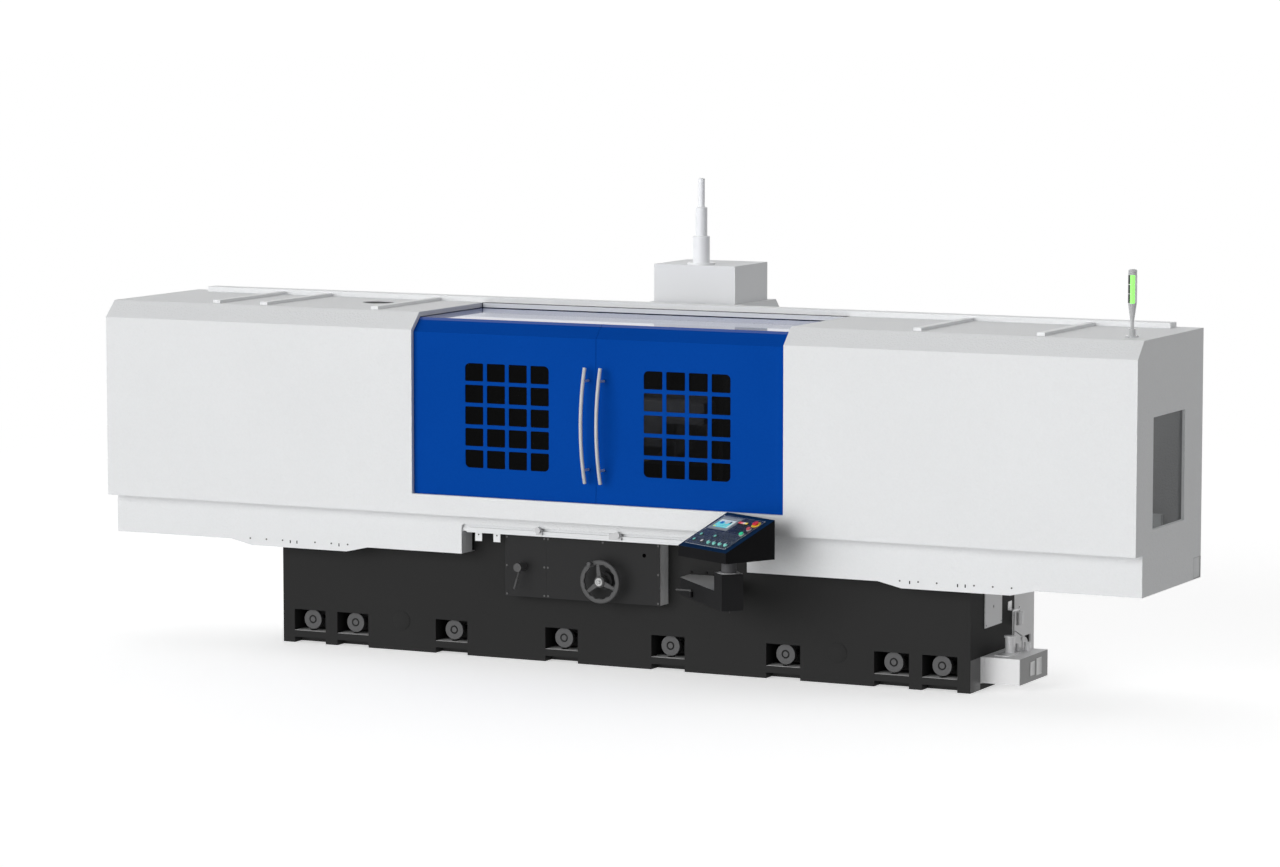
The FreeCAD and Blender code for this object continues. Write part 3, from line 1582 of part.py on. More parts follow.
def hydraulic_unit():
    """The hydraulic tank behind the bed on its legs, with the motor hung under it."""
    tank = block(hydraulic_left, bed_half, bed_back, hydraulic_back, hydraulic_bottom, hydraulic_top)
    pieces = [tank]
    front_leg_back = bed_back + hydraulic_leg_width
    rear_leg_front = hydraulic_back - hydraulic_leg_width / 2
    for x_low in (hydraulic_left, bed_half - hydraulic_leg_thickness):
        x_high = x_low + hydraulic_leg_thickness
        for y_low, y_high in ((bed_back, front_leg_back), (rear_leg_front, hydraulic_back)):
            pieces.append(block(x_low, x_high, y_low, y_high, 0, hydraulic_bottom))
    body = joined(pieces)
    wall = hydraulic_leg_thickness / 2
    body = body.cut(block(hydraulic_left + wall, bed_half - wall, bed_back + wall, hydraulic_back - wall,
                          hydraulic_bottom + wall, hydraulic_top - wall))
    motor_y = (front_leg_back + rear_leg_front) / 2
    start = Vector(bed_half - hydraulic_leg_thickness - hydraulic_motor_length, motor_y,
                   hydraulic_motor_height)
    motor = rod(hydraulic_motor_radius, hydraulic_motor_length, start, along_x)
    hanger = block(start.x, start.x + hydraulic_motor_length, motor_y - hydraulic_leg_thickness,
                   motor_y + hydraulic_leg_thickness, hydraulic_motor_height, hydraulic_bottom)
    return group([body, joined([motor, hanger])])


def lube_tank():
    """The low oil tank, with a flared sheet where it meets the bed."""
    tank = block(bed_half, tank_right, tank_front, tank_back, tank_bottom, tank_top)
    upright = [edge for edge in tank.Edges if runs_along(edge, along_z)]
    outer = [edge for edge in upright if edge.CenterOfMass.x > bed_half + tank_wall]
    tank = tank.makeFillet(tank_edge, outer)
    hollow = block(bed_half + tank_wall, tank_right - tank_wall, tank_front + tank_wall,
                   tank_back - tank_wall,
                   tank_bottom + tank_wall, tank_top - tank_wall)
    tank = tank.cut(hollow)
    flare = block(bed_half, bed_half + tank_flare, tank_front - tank_flare, tank_front, tank_bottom,
                  tank_top)
    round_start = Vector(bed_half + tank_flare, tank_front - tank_flare, tank_bottom)
    flare = flare.cut(rod(tank_flare - tank_wall, tank_top - tank_bottom, round_start, along_z))
    return joined([tank, flare])


def tank_point(x_share, y_share):
    x = bed_half + x_share * (tank_right - bed_half)
    y = tank_front + y_share * (tank_back - tank_front)
    return Vector(x, y, tank_top)


def pipe_run(points, radius):
    """Straight lengths of pipe with round elbows between them."""
    pieces = []
    for start, end in zip(points, points[1:]):
        run = end - start
        pieces.append(rod(radius, run.Length, start, run))
    for corner in points[1:-1]:
        pieces.append(Part.makeSphere(radius, corner))
    return joined(pieces)


def lube_pump():
    """Pump motor on its plate, the filter with its riser, the bowl, a fitting and the return pipe."""
    pump_at = tank_point(pump_x_share, pump_y_share)
    plate = block(pump_at.x - pump_plate_half, pump_at.x + pump_plate_half, pump_at.y - pump_plate_front,
                  pump_at.y + pump_plate_half, tank_top, tank_top + pump_plate)
    motor = rod(pump_radius, pump_height, pump_at + along_z * pump_plate, along_z)
    cap_start = pump_at + along_z * (pump_plate + pump_height)
    cap = rod(pump_cap_radius, pump_cap_height, cap_start, along_z)
    riser_at = tank_point(riser_x_share, riser_y_share)
    filter_at = riser_at + along_y * filter_behind
    bend = Vector(riser_at.x, riser_at.y, riser_top)
    riser = pipe_run([riser_at, bend, bend + along_y * filter_behind], pipe_radius)
    body_start = Vector(filter_at.x, filter_at.y, filter_bottom)
    body = rod(filter_radius, filter_top - filter_bottom, body_start, along_z)
    stub_start = Vector(filter_at.x, filter_at.y, filter_top)
    stub = rod(filter_stub_radius, filter_stub_top - filter_top, stub_start, along_z)
    bracket_front = riser_at.y - pipe_radius
    bracket_back = bracket_front + filter_bracket
    shelf_top = riser_top + pipe_radius
    shelf = block(bed_half, riser_at.x + pipe_radius, bracket_front, bracket_back, shelf_top,
                  shelf_top + sheet)
    upright = block(bed_half, bed_half + sheet, bracket_front, bracket_back, shelf_top,
                    shelf_top + filter_bracket_height)
    bowl = rod(bowl_radius, bowl_height, tank_point(bowl_x_share, bowl_y_share), along_z)
    fitting = rod(fitting_radius, fitting_height, tank_point(pump_x_share, fitting_y_share), along_z)
    return_at = tank_point(pump_x_share, return_y_share)
    return_bend = Vector(return_at.x, return_at.y, return_top)
    return_end = Vector(bed_half, return_at.y + return_reach, return_top)
    return_pipe = pipe_run([return_at, return_bend, return_end], pipe_radius)
    past_wall = block(bed_half - return_reach, bed_half, bed_back, return_end.y + return_reach, tank_top,
                      return_top + return_reach)
    return_pipe = return_pipe.cut(past_wall)
    filter_line = joined([riser, body, stub, shelf, upright])
    return group([joined([plate, motor, cap]), filter_line, bowl, fitting, return_pipe])


os.makedirs("parts", exist_ok=True)

write("front_left_panel", front_panel(-1))
write("front_right_panel", front_panel(1))
write("front_sill", front_sill())
write("lower_skirt", lower_skirt())
write("left_end_wall", end_wall(-1))
write("right_end_wall", end_wall(1))
write("end_window", end_window())
write("rear_wall", rear_wall())
write("roof_bars", roof_bars())
write("door_rails", door_rails())
write("right_door", door_leaf())
write("right_door_pane", door_pane())
write("right_door_handle", door_handle())
write("left_door", mirrored(door_leaf()))
write("left_door_pane", mirrored(door_pane()))
write("left_door_handle", mirrored(door_handle()))
write("signal_lamp_base", lamp_base())
write("signal_lamp_column", lamp_column())

write("bed", bed())
write("levelling_wheels", levelling_wheels())
write("bed_end_covers", bed_end_covers())
write("guide_rails", guide_rails())
write("feed_screws", feed_screws())
write("cross_bed", cross_bed())
write("table", table())
write("magnetic_chuck", magnetic_chuck())

write("column", column())
write("column_cover", column_cover())
write("column_top_box", column_top_box())
write("guard_lower_tube", guard_lower_tube())
write("guard_middle_tube", guard_middle_tube())
write("guard_upper_tube", guard_upper_tube())
write("z_screw", z_screw())
write("wheelhead", wheelhead())
write("wheel_guard", wheel_guard())
write("grinding_wheel", grinding_wheel())
write("wheel_flange", wheel_flange())

write("apron_housing", apron_housing())
write("apron_covers", apron_covers())
write("cover_screws", cover_screws())
write("handwheel", handwheel())
write("handwheel_knob", handwheel_knob())
write("reversing_lever", reversing_lever())
write("stroke_rail", stroke_rail())
write("left_stroke_stop", stroke_stop(stop_shares[0], stop_reaches[0]))
write("right_stroke_stop", stroke_stop(stop_shares[1], stop_reaches[1]))

write("console_arm", console_arm())
write("arm_latch", arm_latch())
write("console_shell", console_shell())
write("console_panel", console_panel())
write("emergency_stop", push_control(emergency_row, emergency_radius, emergency_height,
                                     emergency_stem_radius, emergency_stand))
write("stop_button",
      push_control(stop_button_row, button_radius, button_height, button_stem_radius, button_stand))
write("start_button", push_control(start_button_row, button_radius, button_height, button_stem_radius,
                                   button_stand))
for number, place in enumerate(selector_columns(), 1):
    write("selector_" + str(number), selector(place))

write("hydraulic_unit", hydraulic_unit())
write("lube_tank", lube_tank())
write("lube_pump", lube_pump())
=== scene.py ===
import math

import bpy
from mathutils import Matrix, Vector


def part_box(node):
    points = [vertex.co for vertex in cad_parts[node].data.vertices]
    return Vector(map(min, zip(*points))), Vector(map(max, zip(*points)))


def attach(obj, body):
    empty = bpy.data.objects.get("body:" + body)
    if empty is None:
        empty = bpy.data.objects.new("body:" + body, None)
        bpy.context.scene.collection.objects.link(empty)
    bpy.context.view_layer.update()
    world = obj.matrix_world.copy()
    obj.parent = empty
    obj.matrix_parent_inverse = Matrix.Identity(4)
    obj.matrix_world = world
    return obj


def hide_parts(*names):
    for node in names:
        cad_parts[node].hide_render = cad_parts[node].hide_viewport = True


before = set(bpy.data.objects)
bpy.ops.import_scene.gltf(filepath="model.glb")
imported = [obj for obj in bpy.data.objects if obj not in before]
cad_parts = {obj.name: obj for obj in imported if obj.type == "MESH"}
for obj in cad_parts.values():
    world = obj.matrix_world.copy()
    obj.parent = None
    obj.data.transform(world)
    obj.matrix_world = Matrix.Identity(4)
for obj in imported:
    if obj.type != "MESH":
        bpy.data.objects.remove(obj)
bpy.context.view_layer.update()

# The viewpoint. The machine is seen from its front and right, from a little above its roof,
# through a long lens that stands well back.
view_turn = math.radians(26.275)
view_rise = math.radians(6.035)
view_place = Vector((11.8838, -24.3069, 4.1696))
view_back = Vector((math.sin(view_turn) * math.cos(view_rise), -math.cos(view_turn) * math.cos(view_rise),
                    math.sin(view_rise)))
bpy.ops.object.camera_add(location=view_place, rotation=(-view_back).to_track_quat("-Z", "Y").to_euler())
camera = bpy.context.object
camera.data.sensor_width = 36
camera.data.lens = 129.7
camera.data.clip_end = 300
bpy.context.scene.camera = camera
bpy.context.scene.view_settings.view_transform = "Standard"

# The studio. A plain pale floor, a white surround that is brightest behind the machine, one soft
# key light from the front left, and two small work lights inside the casing.
floor_radius = 160
fade_start = 3.0
fade_end = 14.0
bpy.ops.object.select_all(action="DESELECT")
bpy.ops.mesh.primitive_circle_add(vertices=128, radius=floor_radius, fill_type="NGON",
                                  location=(0, 0, -0.001))
floor = bpy.context.object
floor.name = "studio_floor"
floor.visible_diffuse = False
floor.visible_glossy = False

bpy.ops.object.light_add(type="SUN")
key_light = bpy.context.object
key_from = Vector((-0.34, -0.94, -0.02))
key_light.rotation_euler = key_from.to_track_quat("Z", "Y").to_euler()
key_light.data.energy = 3.65
key_light.visible_glossy = False
key_light.data.angle = math.radians(60)


def work_light(place, tilt, length, width, power):
    """A small rectangular light inside the casing, tilted to the rear by an angle in degrees."""
    bpy.ops.object.light_add(type="AREA", location=place, rotation=(math.radians(tilt), 0, 0))
    light = bpy.context.object.data
    light.shape = "RECTANGLE"
    light.size = length
    light.size_y = width
    light.energy = power


work_light((0.1, -0.62, 1.85), 50, 0.6, 0.12, 4.6)
work_light((2.3, -0.2, 1.94), 0, 1.2, 0.3, 4.2)


class Tone:
    """One output in a material or surround. Sums, products and comparisons of it add their own nodes."""

    def __init__(self, owner, socket=None):
        self.owner = owner
        self.socket = socket

    def node(self, kind, settings=None, sockets=None, output=0):
        """Any other node, from its type, its settings, and the values or links of its sockets."""
        tree = self.owner.node_tree
        made = tree.nodes.new(kind)
        for name, value in (settings or {}).items():
            setattr(made, name, value)
        for name, value in (sockets or {}).items():
            if isinstance(value, Tone):
                tree.links.new(value.socket, made.inputs[name])
            else:
                made.inputs[name].default_value = value
        return Tone(self.owner, made.outputs[output] if len(made.outputs) else None)

    def maths(self, operation, first, second=0.0):
        """A Math node on one or two values."""
        return self.node("ShaderNodeMath", {"operation": operation}, {0: first, 1: second})

    def __add__(self, other):
        return self.maths("ADD", self, other)

    def __radd__(self, other):
        return self.maths("ADD", other, self)

    def __sub__(self, other):
        return self.maths("SUBTRACT", self, other)

    def __rsub__(self, other):
        return self.maths("SUBTRACT", other, self)

    def __mul__(self, other):
        return self.maths("MULTIPLY", self, other)

    def __rmul__(self, other):
        return self.maths("MULTIPLY", other, self)

    def __gt__(self, other):
        return self.maths("GREATER_THAN", self, other)

    def __lt__(self, other):
        return self.maths("LESS_THAN", self, other)

    def __mod__(self, other):
        return self.maths("FLOORED_MODULO", self, other)

    def __abs__(self):
        return self.maths("ABSOLUTE", self)


def opaque(colour):
    """A colour with full cover; one that comes from a node stays as it is."""
    return colour if isinstance(colour, Tone) else (*colour, 1.0)


def blended(share, first, second):
    """A colour between two colours, by a share from 0 to 1."""
    mixed = {0: share, 6: opaque(first), 7: opaque(second)}
    return share.node("ShaderNodeMix", {"data_type": "RGBA"}, mixed, 2)


def reach(place, along):
    """How far a point lies along a direction."""
    return place.node("ShaderNodeVectorMath", {"operation": "DOT_PRODUCT"}, {0: place, 1: along}, "Value")


def eased_share(value, low, high, sockets=None):
    """A soft step of a value from a low to a high mark."""
    marks = {"Value": value, "From Min": low, "From Max": high, **(sockets or {})}
    return value.node("ShaderNodeMapRange", {"interpolation_type": "SMOOTHSTEP"}, marks)


world = bpy.data.worlds.new("white_surround")
world.use_nodes = True
world.node_tree.nodes.clear()
bpy.context.scene.world = world
sky = Tone(world)
towards = sky.node("ShaderNodeTexCoord", output="Generated")
behind_machine = (-0.4, 0.894, 0.2)
glow = eased_share(reach(towards, behind_machine), 0.1, 0.8, {"To Min": 0.32, "To Max": 1.02})
surround = sky.node("ShaderNodeBackground", None, {"Color": (1.0, 1.0, 1.0, 1.0), "Strength": glow})
sky.node("ShaderNodeOutputWorld", None, {"Surface": surround})


def bare_finish(name):
    """An empty material and the place of a point on the piece."""
    material = bpy.data.materials.new(name)
    material.use_nodes = True
    material.node_tree.nodes.clear()
    start = Tone(material)
    return start, start.node("ShaderNodeTexCoord", output="Object")


def sealed(start, shader):
    """Joins the shader to the material's output and hands back the material."""
    start.node("ShaderNodeOutputMaterial", None, {"Surface": shader})
    return start.owner


def cloudy(place, scale, detail=2.0):
    """A soft cloud pattern, or a grain where the scale is high."""
    return place.node("ShaderNodeTexNoise", None, {"Vector": place, "Scale": scale, "Detail": detail})


def floor_finish():
    """A matt pale floor that fades into the white surround far from the machine."""
    start, place = bare_finish("pale_floor")
    cloud = cloudy(place, 0.2)
    colour = blended(cloud, (0.8, 0.8, 0.8), (0.84, 0.84, 0.84))
    matt = start.node("ShaderNodeBsdfPrincipled", None, {
        "Base Color": colour, "Roughness": 0.95, "Specular IOR Level": 0.0,
        "Emission Color": (1.0, 1.0, 1.0, 1.0), "Emission Strength": 0.5})
    white = start.node("ShaderNodeEmission", None, {"Color": (1.0, 1.0, 1.0, 1.0), "Strength": 1.0})
    away = place.node("ShaderNodeVectorMath", {"operation": "LENGTH"}, {0: place}, "Value")
    fade = eased_share(away, fade_start, fade_end)
    return sealed(start, start.node("ShaderNodeMixShader", None, {0: fade, 1: matt, 2: white}))


floor.data.materials.append(floor_finish())

# The white casing. Long panels folded from three millimetre sheet, with flat ends, a rear wall and
# stiffening bars on the roof, welded and sprayed with a fine pebbled white coat.
pebble_scale = 95.0
pebble_height = 0.0035
sharp_edge = math.radians(35)


def coordinate(place, axis):
    """One of a point's coordinates, X, Y or Z."""
    return place.node("ShaderNodeSeparateXYZ", None, {0: place}, axis)


def pebbled(grain, depth, strength=1.0):
    """A relief that follows a grain, for the shader's normal."""
    return grain.node("ShaderNodeBump", None, {"Height": grain, "Strength": strength, "Distance": depth})


def painted(start, sockets):
    """Seals a material whose one shader takes these values and links."""
    return sealed(start, start.node("ShaderNodeBsdfPrincipled", None, sockets))


def grained_finish(name, spread=1.3, grain=pebble_scale, detail=4.0):
    """An empty material with a broad cloud of shade and a fine grain to draw on."""
    start, place = bare_finish(name)
    return start, place, cloudy(place, spread, detail), cloudy(place, grain, 3.0)


def sprayed_coat(name, colour, gloss, grain=pebble_scale, height=pebble_height, lift=0.06, shine=0.5):
    """Sprayed textured paint: pebble grain, a faint cloudy shade and an uneven gloss."""
    start, _, cloud, speck = grained_finish(name, grain=grain)
    dark = [part * (1 - lift) for part in colour]
    light = [min(1.0, part * (1 + lift)) for part in colour]
    return painted(start, {
        "Base Color": blended(cloud * 0.6 + speck * 0.4, dark, light),
        "Roughness": gloss - 0.06 + cloud * 0.12, "Normal": pebbled(speck, height),
        "Specular IOR Level": shine})


def dressed(finish, *names):
    """Puts a finish on CAD nodes through their material slots."""
    for name in names:
        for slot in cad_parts[name].material_slots:
            slot.material = finish


def alone(piece):
    """Selects this piece and nothing else, and makes it active."""
    bpy.ops.object.select_all(action="DESELECT")
    piece.select_set(True)
    bpy.context.view_layer.objects.active = piece


def in_place(piece):
    """Moves the piece's place, turn and size into its mesh."""
    alone(piece)
    bpy.ops.object.transform_apply(location=True, rotation=True, scale=True)
    return piece


def eased(piece, width, steps=2):
    """Rounds the sharp edges, so that they catch the light."""
    alone(piece)
    bevel = piece.modifiers.new("Bevel", "BEVEL")
    bevel.width = width
    bevel.segments = steps
    bevel.limit_method = "ANGLE"
    bevel.angle_limit = sharp_edge
    bpy.ops.object.modifier_apply(modifier=bevel.name)
    return piece


def begun(name, primitive, **settings):
    """Adds a primitive with nothing else selected, and moves its place into its mesh."""
    bpy.ops.object.select_all(action="DESELECT")
    primitive(**settings)
    piece = in_place(bpy.context.object)
    piece.name = name
    return piece


def plate(name, low, high, edge=0.0):
    """A block between two corners, with its edges eased where a width is given."""
    low = Vector(low)
    high = Vector(high)
    piece = begun(name, bpy.ops.mesh.primitive_cube_add, size=1, location=(low + high) / 2, scale=high - low)
    return eased(piece, edge) if edge else piece


def outward(piece):
    """Turns every face of the piece that is being edited outwards, and closes the editing."""
    bpy.ops.mesh.select_all(action="SELECT")
    bpy.ops.mesh.normals_make_consistent(inside=False)
    bpy.ops.object.mode_set(mode="OBJECT")
    return piece


def picked(piece, test):
    """Opens the mesh for editing with only the faces that pass the test selected."""
    alone(piece)
    bpy.ops.object.mode_set(mode="EDIT")
    bpy.ops.mesh.select_mode(type="FACE")
    bpy.ops.mesh.select_all(action="DESELECT")
    bpy.ops.object.mode_set(mode="OBJECT")
    for face in piece.data.polygons:
        face.select = test(face)
    bpy.ops.object.mode_set(mode="EDIT")


def sunk(piece, along, margin, depth):
    """Insets the faces that look along a direction and moves them inwards by the depth."""
    along = Vector(along).normalized()
    picked(piece, lambda face: face.normal.dot(along) > 0.99)
    bpy.ops.mesh.inset(thickness=margin)
    bpy.ops.mesh.extrude_region_move(TRANSFORM_OT_translate={"value": along * -depth})
    bpy.ops.object.mode_set(mode="OBJECT")
    return piece


def turned(name, rings, sides=48):
    """A turned piece on the z axis, drawn up through rings of (radius, height) from a disc."""
    piece = begun(name, bpy.ops.mesh.primitive_circle_add, vertices=sides, radius=rings[0][0],
                  fill_type="NGON", location=(0, 0, rings[0][1]))
    bpy.ops.object.mode_set(mode="EDIT")
    bpy.ops.mesh.select_all(action="SELECT")
    for (radius, height), (new_radius, new_height) in zip(rings, rings[1:]):
        bpy.ops.mesh.extrude_region_move(TRANSFORM_OT_translate={"value": (0, 0, new_height - height)})
        bpy.ops.transform.resize(value=(new_radius / radius, new_radius / radius, 1),
                                 center_override=(0, 0, new_height))
    return outward(piece)


def bored(piece):
    """Opens a turned piece whose first and last rings meet, so that it has a hole through the middle."""
    picked(piece, lambda face: len(face.vertices) > 4)
    bpy.ops.mesh.delete(type="FACE")
    bpy.ops.mesh.select_all(action="SELECT")
    bpy.ops.mesh.remove_doubles(threshold=0.00001)
    return outward(piece)


def facing(place, along=(0, 0, 1)):
    """The matrix that stands a piece of the z axis at a place, looking along a direction."""
    return Matrix.Translation(Vector(place)) @ Vector(along).to_track_quat("Z", "Y").to_matrix().to_4x4()


def at(*place):
    """The matrix that carries a piece to a place."""
    return Matrix.Translation(place)


def moved(piece, matrix):
    """Carries the piece's mesh by the matrix."""
    piece.data.transform(matrix)
    return piece


def copied(piece, name, matrix):
    """A copy with its own mesh, moved by the matrix."""
    twin = piece.copy()
    twin.data = piece.data.copy()
    twin.name = name
    bpy.context.collection.objects.link(twin)
    return moved(twin, matrix)


def settled(piece, body, finish):
    """Gives a finished piece its material, its smooth shading and the body that it rides on."""
    piece.data.materials.clear()
    piece.data.materials.append(finish)
    alone(piece)
    bpy.ops.object.shade_smooth_by_angle(angle=sharp_edge)
    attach(piece, body)
    return piece


def settled_copies(piece, matrices, body, finish):
    """One settled and numbered copy for each matrix; the first model is taken away."""
    for number, matrix in enumerate(matrices, 1):
        settled(copied(piece, f"{piece.name}_{number}", matrix), body, finish)
    bpy.data.objects.remove(piece)


white_coat = sprayed_coat("white_coat", (0.76, 0.77, 0.78), 0.5)
dressed(white_coat, "front_left_panel", "front_right_panel", "front_sill", "lower_skirt", "left_end_wall",
        "right_end_wall")
# Painted light: the roof bars get a lighter copy of the white coat, so their shaded sides look lit.
dressed(sprayed_coat("bar_white_lit", (0.88, 0.89, 0.9), 0.5), "roof_bars")
roof_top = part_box("front_left_panel")[1].z
rear_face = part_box("rear_wall")[1].y
half_sheet = 0.0015
mat_half = 1.6


def wall_paint():
    """White outside, grey primer on the inside of the sheet, and a black splash mat behind the table."""
    start, place, cloud, speck = grained_finish("wall_paint")
    outer = blended(cloud, (0.72, 0.73, 0.74), (0.8, 0.81, 0.82))
    mat = abs(coordinate(place, "X")) < mat_half
    inner = blended(mat, (0.36, 0.36, 0.365), (0.01, 0.01, 0.01))
    inside = coordinate(place, "Y") < rear_face - half_sheet
    return painted(start, {
        "Base Color": blended(inside, outer, inner), "Roughness": 0.44 + cloud * 0.12,
        "Normal": pebbled(speck, pebble_height)})


dressed(wall_paint(), "rear_wall")

# The mist port. A black grille of spun rings lies in the round hole of the roof, where an
# extractor is joined on.
mist_place = at(-1.7672, -0.1941, roof_top)
mist_radius = 0.0995
grille_face = -0.006
groove_floor = -0.014
groove_pitch = 0.0105
black_coat = sprayed_coat("black_coat", (0.026, 0.026, 0.027), 0.5, 260, 0.0004, 0.15)
grille_rings = [(mist_radius, -0.018), (mist_radius, grille_face)]
for number in range(8):
    ring = mist_radius - 0.004 - number * groove_pitch
    grille_rings += [(ring, grille_face), (ring - 0.002, groove_floor), (ring - 0.006, groove_floor),
                     (ring - 0.008, grille_face)]
grille = turned("mist_port_grille", grille_rings, 64)
settled(moved(grille, mist_place), "machine", black_coat)

# The rear covers. Four lift-off sheets with pressed louvres let the drives breathe, each held by
# four quarter-turn locks.
hatch_half = 0.38
hatch_low = 1.02
hatch_high = 1.62
hatch_thickness = 0.004
louvre_half = 0.15
louvre_columns = (-0.18, 0.18)
louvre_rows = 8
louvre_pitch = 0.052
lock_inset = 0.025
rearwards = (0, 1, 0)
hatch = plate("rear_cover", (-hatch_half, 0, hatch_low), (hatch_half, hatch_thickness, hatch_high), 0.0015)
louvre = plate("rear_louvre", (-louvre_half, 0, 0), (louvre_half, 0.011, 0.018))
picked(louvre, lambda face: face.normal.z > 0.9)
bpy.ops.transform.translate(value=(0, 0, 0.012))
bpy.ops.transform.resize(value=(0.94, 0.15, 1), center_override=(0, 0, 0.03))
bpy.ops.object.mode_set(mode="OBJECT")
eased(louvre, 0.002)
lock = turned("rear_lock", [(0.011, 0), (0.011, 0.003), (0.009, 0.005), (0.003, 0.005), (0.0025, 0.003)], 24)
hatch_places = [at(x, rear_face, 0) for x in (-2.35, -1.15, 1.15, 2.35)]
zinc = sprayed_coat("zinc", (0.42, 0.42, 0.43), 0.35, 300, 0.0001, 0.1)
louvre_places = [place @ at(x, hatch_thickness - 0.001, hatch_low + 0.1 + row * louvre_pitch)
                 for place in hatch_places for row in range(louvre_rows) for x in louvre_columns]
lock_places = [place @ facing((x, hatch_thickness, z), rearwards) for place in hatch_places
               for x in (lock_inset - hatch_half, hatch_half - lock_inset)
               for z in (hatch_low + lock_inset, hatch_high - lock_inset)]
settled_copies(hatch, hatch_places, "machine", white_coat)
settled_copies(louvre, louvre_places, "machine", white_coat)
settled_copies(lock, lock_places, "machine", zinc)

# The trunk caps. The cable trunk runs along the foot of the rear wall, and a folded white cap closes
# each end of it.
casing_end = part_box("right_end_wall")[1].x
trunk_front, trunk_back = 0.106, 0.2208
trunk_low, trunk_high = 0.6321, 0.7479
cap_near, cap_far = casing_end - 0.006, casing_end - 0.003
cap = plate("trunk_cap", (cap_near, trunk_front, trunk_low), (cap_far, trunk_back, trunk_high), 0.0008)
cap_places = [at(-cap_near - cap_far, 0, 0), at(0, 0, 0)]
settled_copies(cap, cap_places, "machine", white_coat)

# The inner gutter. A folded sheet channel along the rear wall carries the coolant back; it shows
# through the end window.
gutter_near, gutter_far = 0.52, 3.076
gutter_low, gutter_high = 0.885, 0.974
gutter_front = 0.183
wall_inside = rear_face - 0.0032
gutter = plate("inner_gutter", (gutter_near, gutter_front, gutter_low),
               (gutter_far, wall_inside, gutter_high))
sunk(gutter, (0, 0, 1), 0.003, 0.06)
eased(gutter, 0.001, 1)
gutter_places = [at(-gutter_near - gutter_far, 0, 0), at(0, 0, 0)]
settled_copies(gutter, gutter_places, "machine", white_coat)

# The plugs of the hanging brackets. Black rubber plugs close the adjusting slots that the
# brackets of the skirt are set through.
skirt_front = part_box("lower_skirt")[0].y
plug = plate("bracket_plug", (-0.0035, -0.001, -0.009), (0.0035, 0.0005, 0.009), 0.0004)
slot_height = 0.631
slot_offsets = (-0.276, 0.013, 0.059)
plug_places = [at(centre + side * offset, skirt_front, slot_height)
               for centre, side in ((-2.0262, -1), (2.2011, 1)) for offset in slot_offsets]
rubber = sprayed_coat("rubber", (0.012, 0.012, 0.012), 0.7, 400, 0.0002, 0.2)
settled_copies(plug, plug_places, "machine", rubber)

# The sliding doors. Each leaf is one folded blue sheet with a grid of windows, a dark pane behind
# the grid and a bowed stainless tube handle.
roof_leaf = 1.995


def blue_coat():
    """Fine pebbled blue, with a clear wax shine on the flat part that runs back along the roof."""
    start, place, cloud, speck = grained_finish("blue_coat")
    colour = blended(cloud * 0.5 + speck * 0.5, (0.0, 0.046, 0.285), (0.002, 0.064, 0.375))
    top = coordinate(place, "Z") > roof_leaf
    return painted(start, {
        "Base Color": colour, "Roughness": 0.3 + cloud * 0.08 - top * 0.15,
        "Normal": pebbled(speck, 0.0003, 0.6), "Specular IOR Level": 0.01,
        "Coat Weight": top, "Coat Roughness": 0.03, "Coat IOR": 2.1})


dressed(blue_coat(), "left_door", "right_door")


def safety_glass(name, smears, colours, gloss, unevenness, shine, tint, share):
    """Smeared safety glass, of which a share is clear and shows the inside through its tint."""
    start, place = bare_finish(name)
    smear = cloudy(place, smears, 3.0)
    pane = start.node("ShaderNodeBsdfPrincipled", None, {
        "Base Color": blended(smear, *colours), "Roughness": gloss + smear * unevenness,
        "Specular IOR Level": shine})
    clear = start.node("ShaderNodeBsdfTransparent", None, {"Color": opaque(tint)})
    return sealed(start, start.node("ShaderNodeMixShader", None, {0: share, 1: pane, 2: clear}))


dark_glass = safety_glass("dark_glass", 5.0, ((0.003, 0.003, 0.003), (0.005, 0.005, 0.005)), 0.06, 0.08,
                          0.15, (0.62, 0.63, 0.65), 0.4)
dressed(dark_glass, "left_door_pane", "right_door_pane")


def polished_metal(name, colour, rough, streak_scale=(900, 900, 30), streak=0.1, metal=1.0):
    """Bright metal with fine drawn streaks; a satin one has a lower share of metal."""
    start, place = bare_finish(name)
    stretched = place.node("ShaderNodeMapping", None, {"Vector": place, "Scale": streak_scale})
    lines = cloudy(stretched, 1.0)
    cloud = cloudy(place, 12.0)
    return painted(start, {
        "Base Color": blended(cloud, [part * 0.92 for part in colour], colour), "Metallic": metal,
        "Roughness": rough - streak / 2 + lines * streak, "Normal": pebbled(lines, 0.0001, 0.25)})


stainless = polished_metal("stainless", (0.8, 0.8, 0.81), 0.3, metal=0.45)
dressed(stainless, "left_door_handle", "right_door_handle")
along_x = (30, 900, 900)
dressed(polished_metal("drawn_steel", (0.55, 0.55, 0.56), 0.32, along_x), "door_rails")

# The opening's lip. A narrow white strip is folded down from the back edge of the roof opening, and
# the leaves run under it.
lip_half = 1.188
lip_back = 0.0409
lip_foot = 2.0125
lip = plate("opening_lip", (-lip_half, lip_back - 0.0014, lip_foot), (lip_half, lip_back, roof_top - 0.0005))
settled(eased(lip, 0.0004, 1), "machine", white_coat)

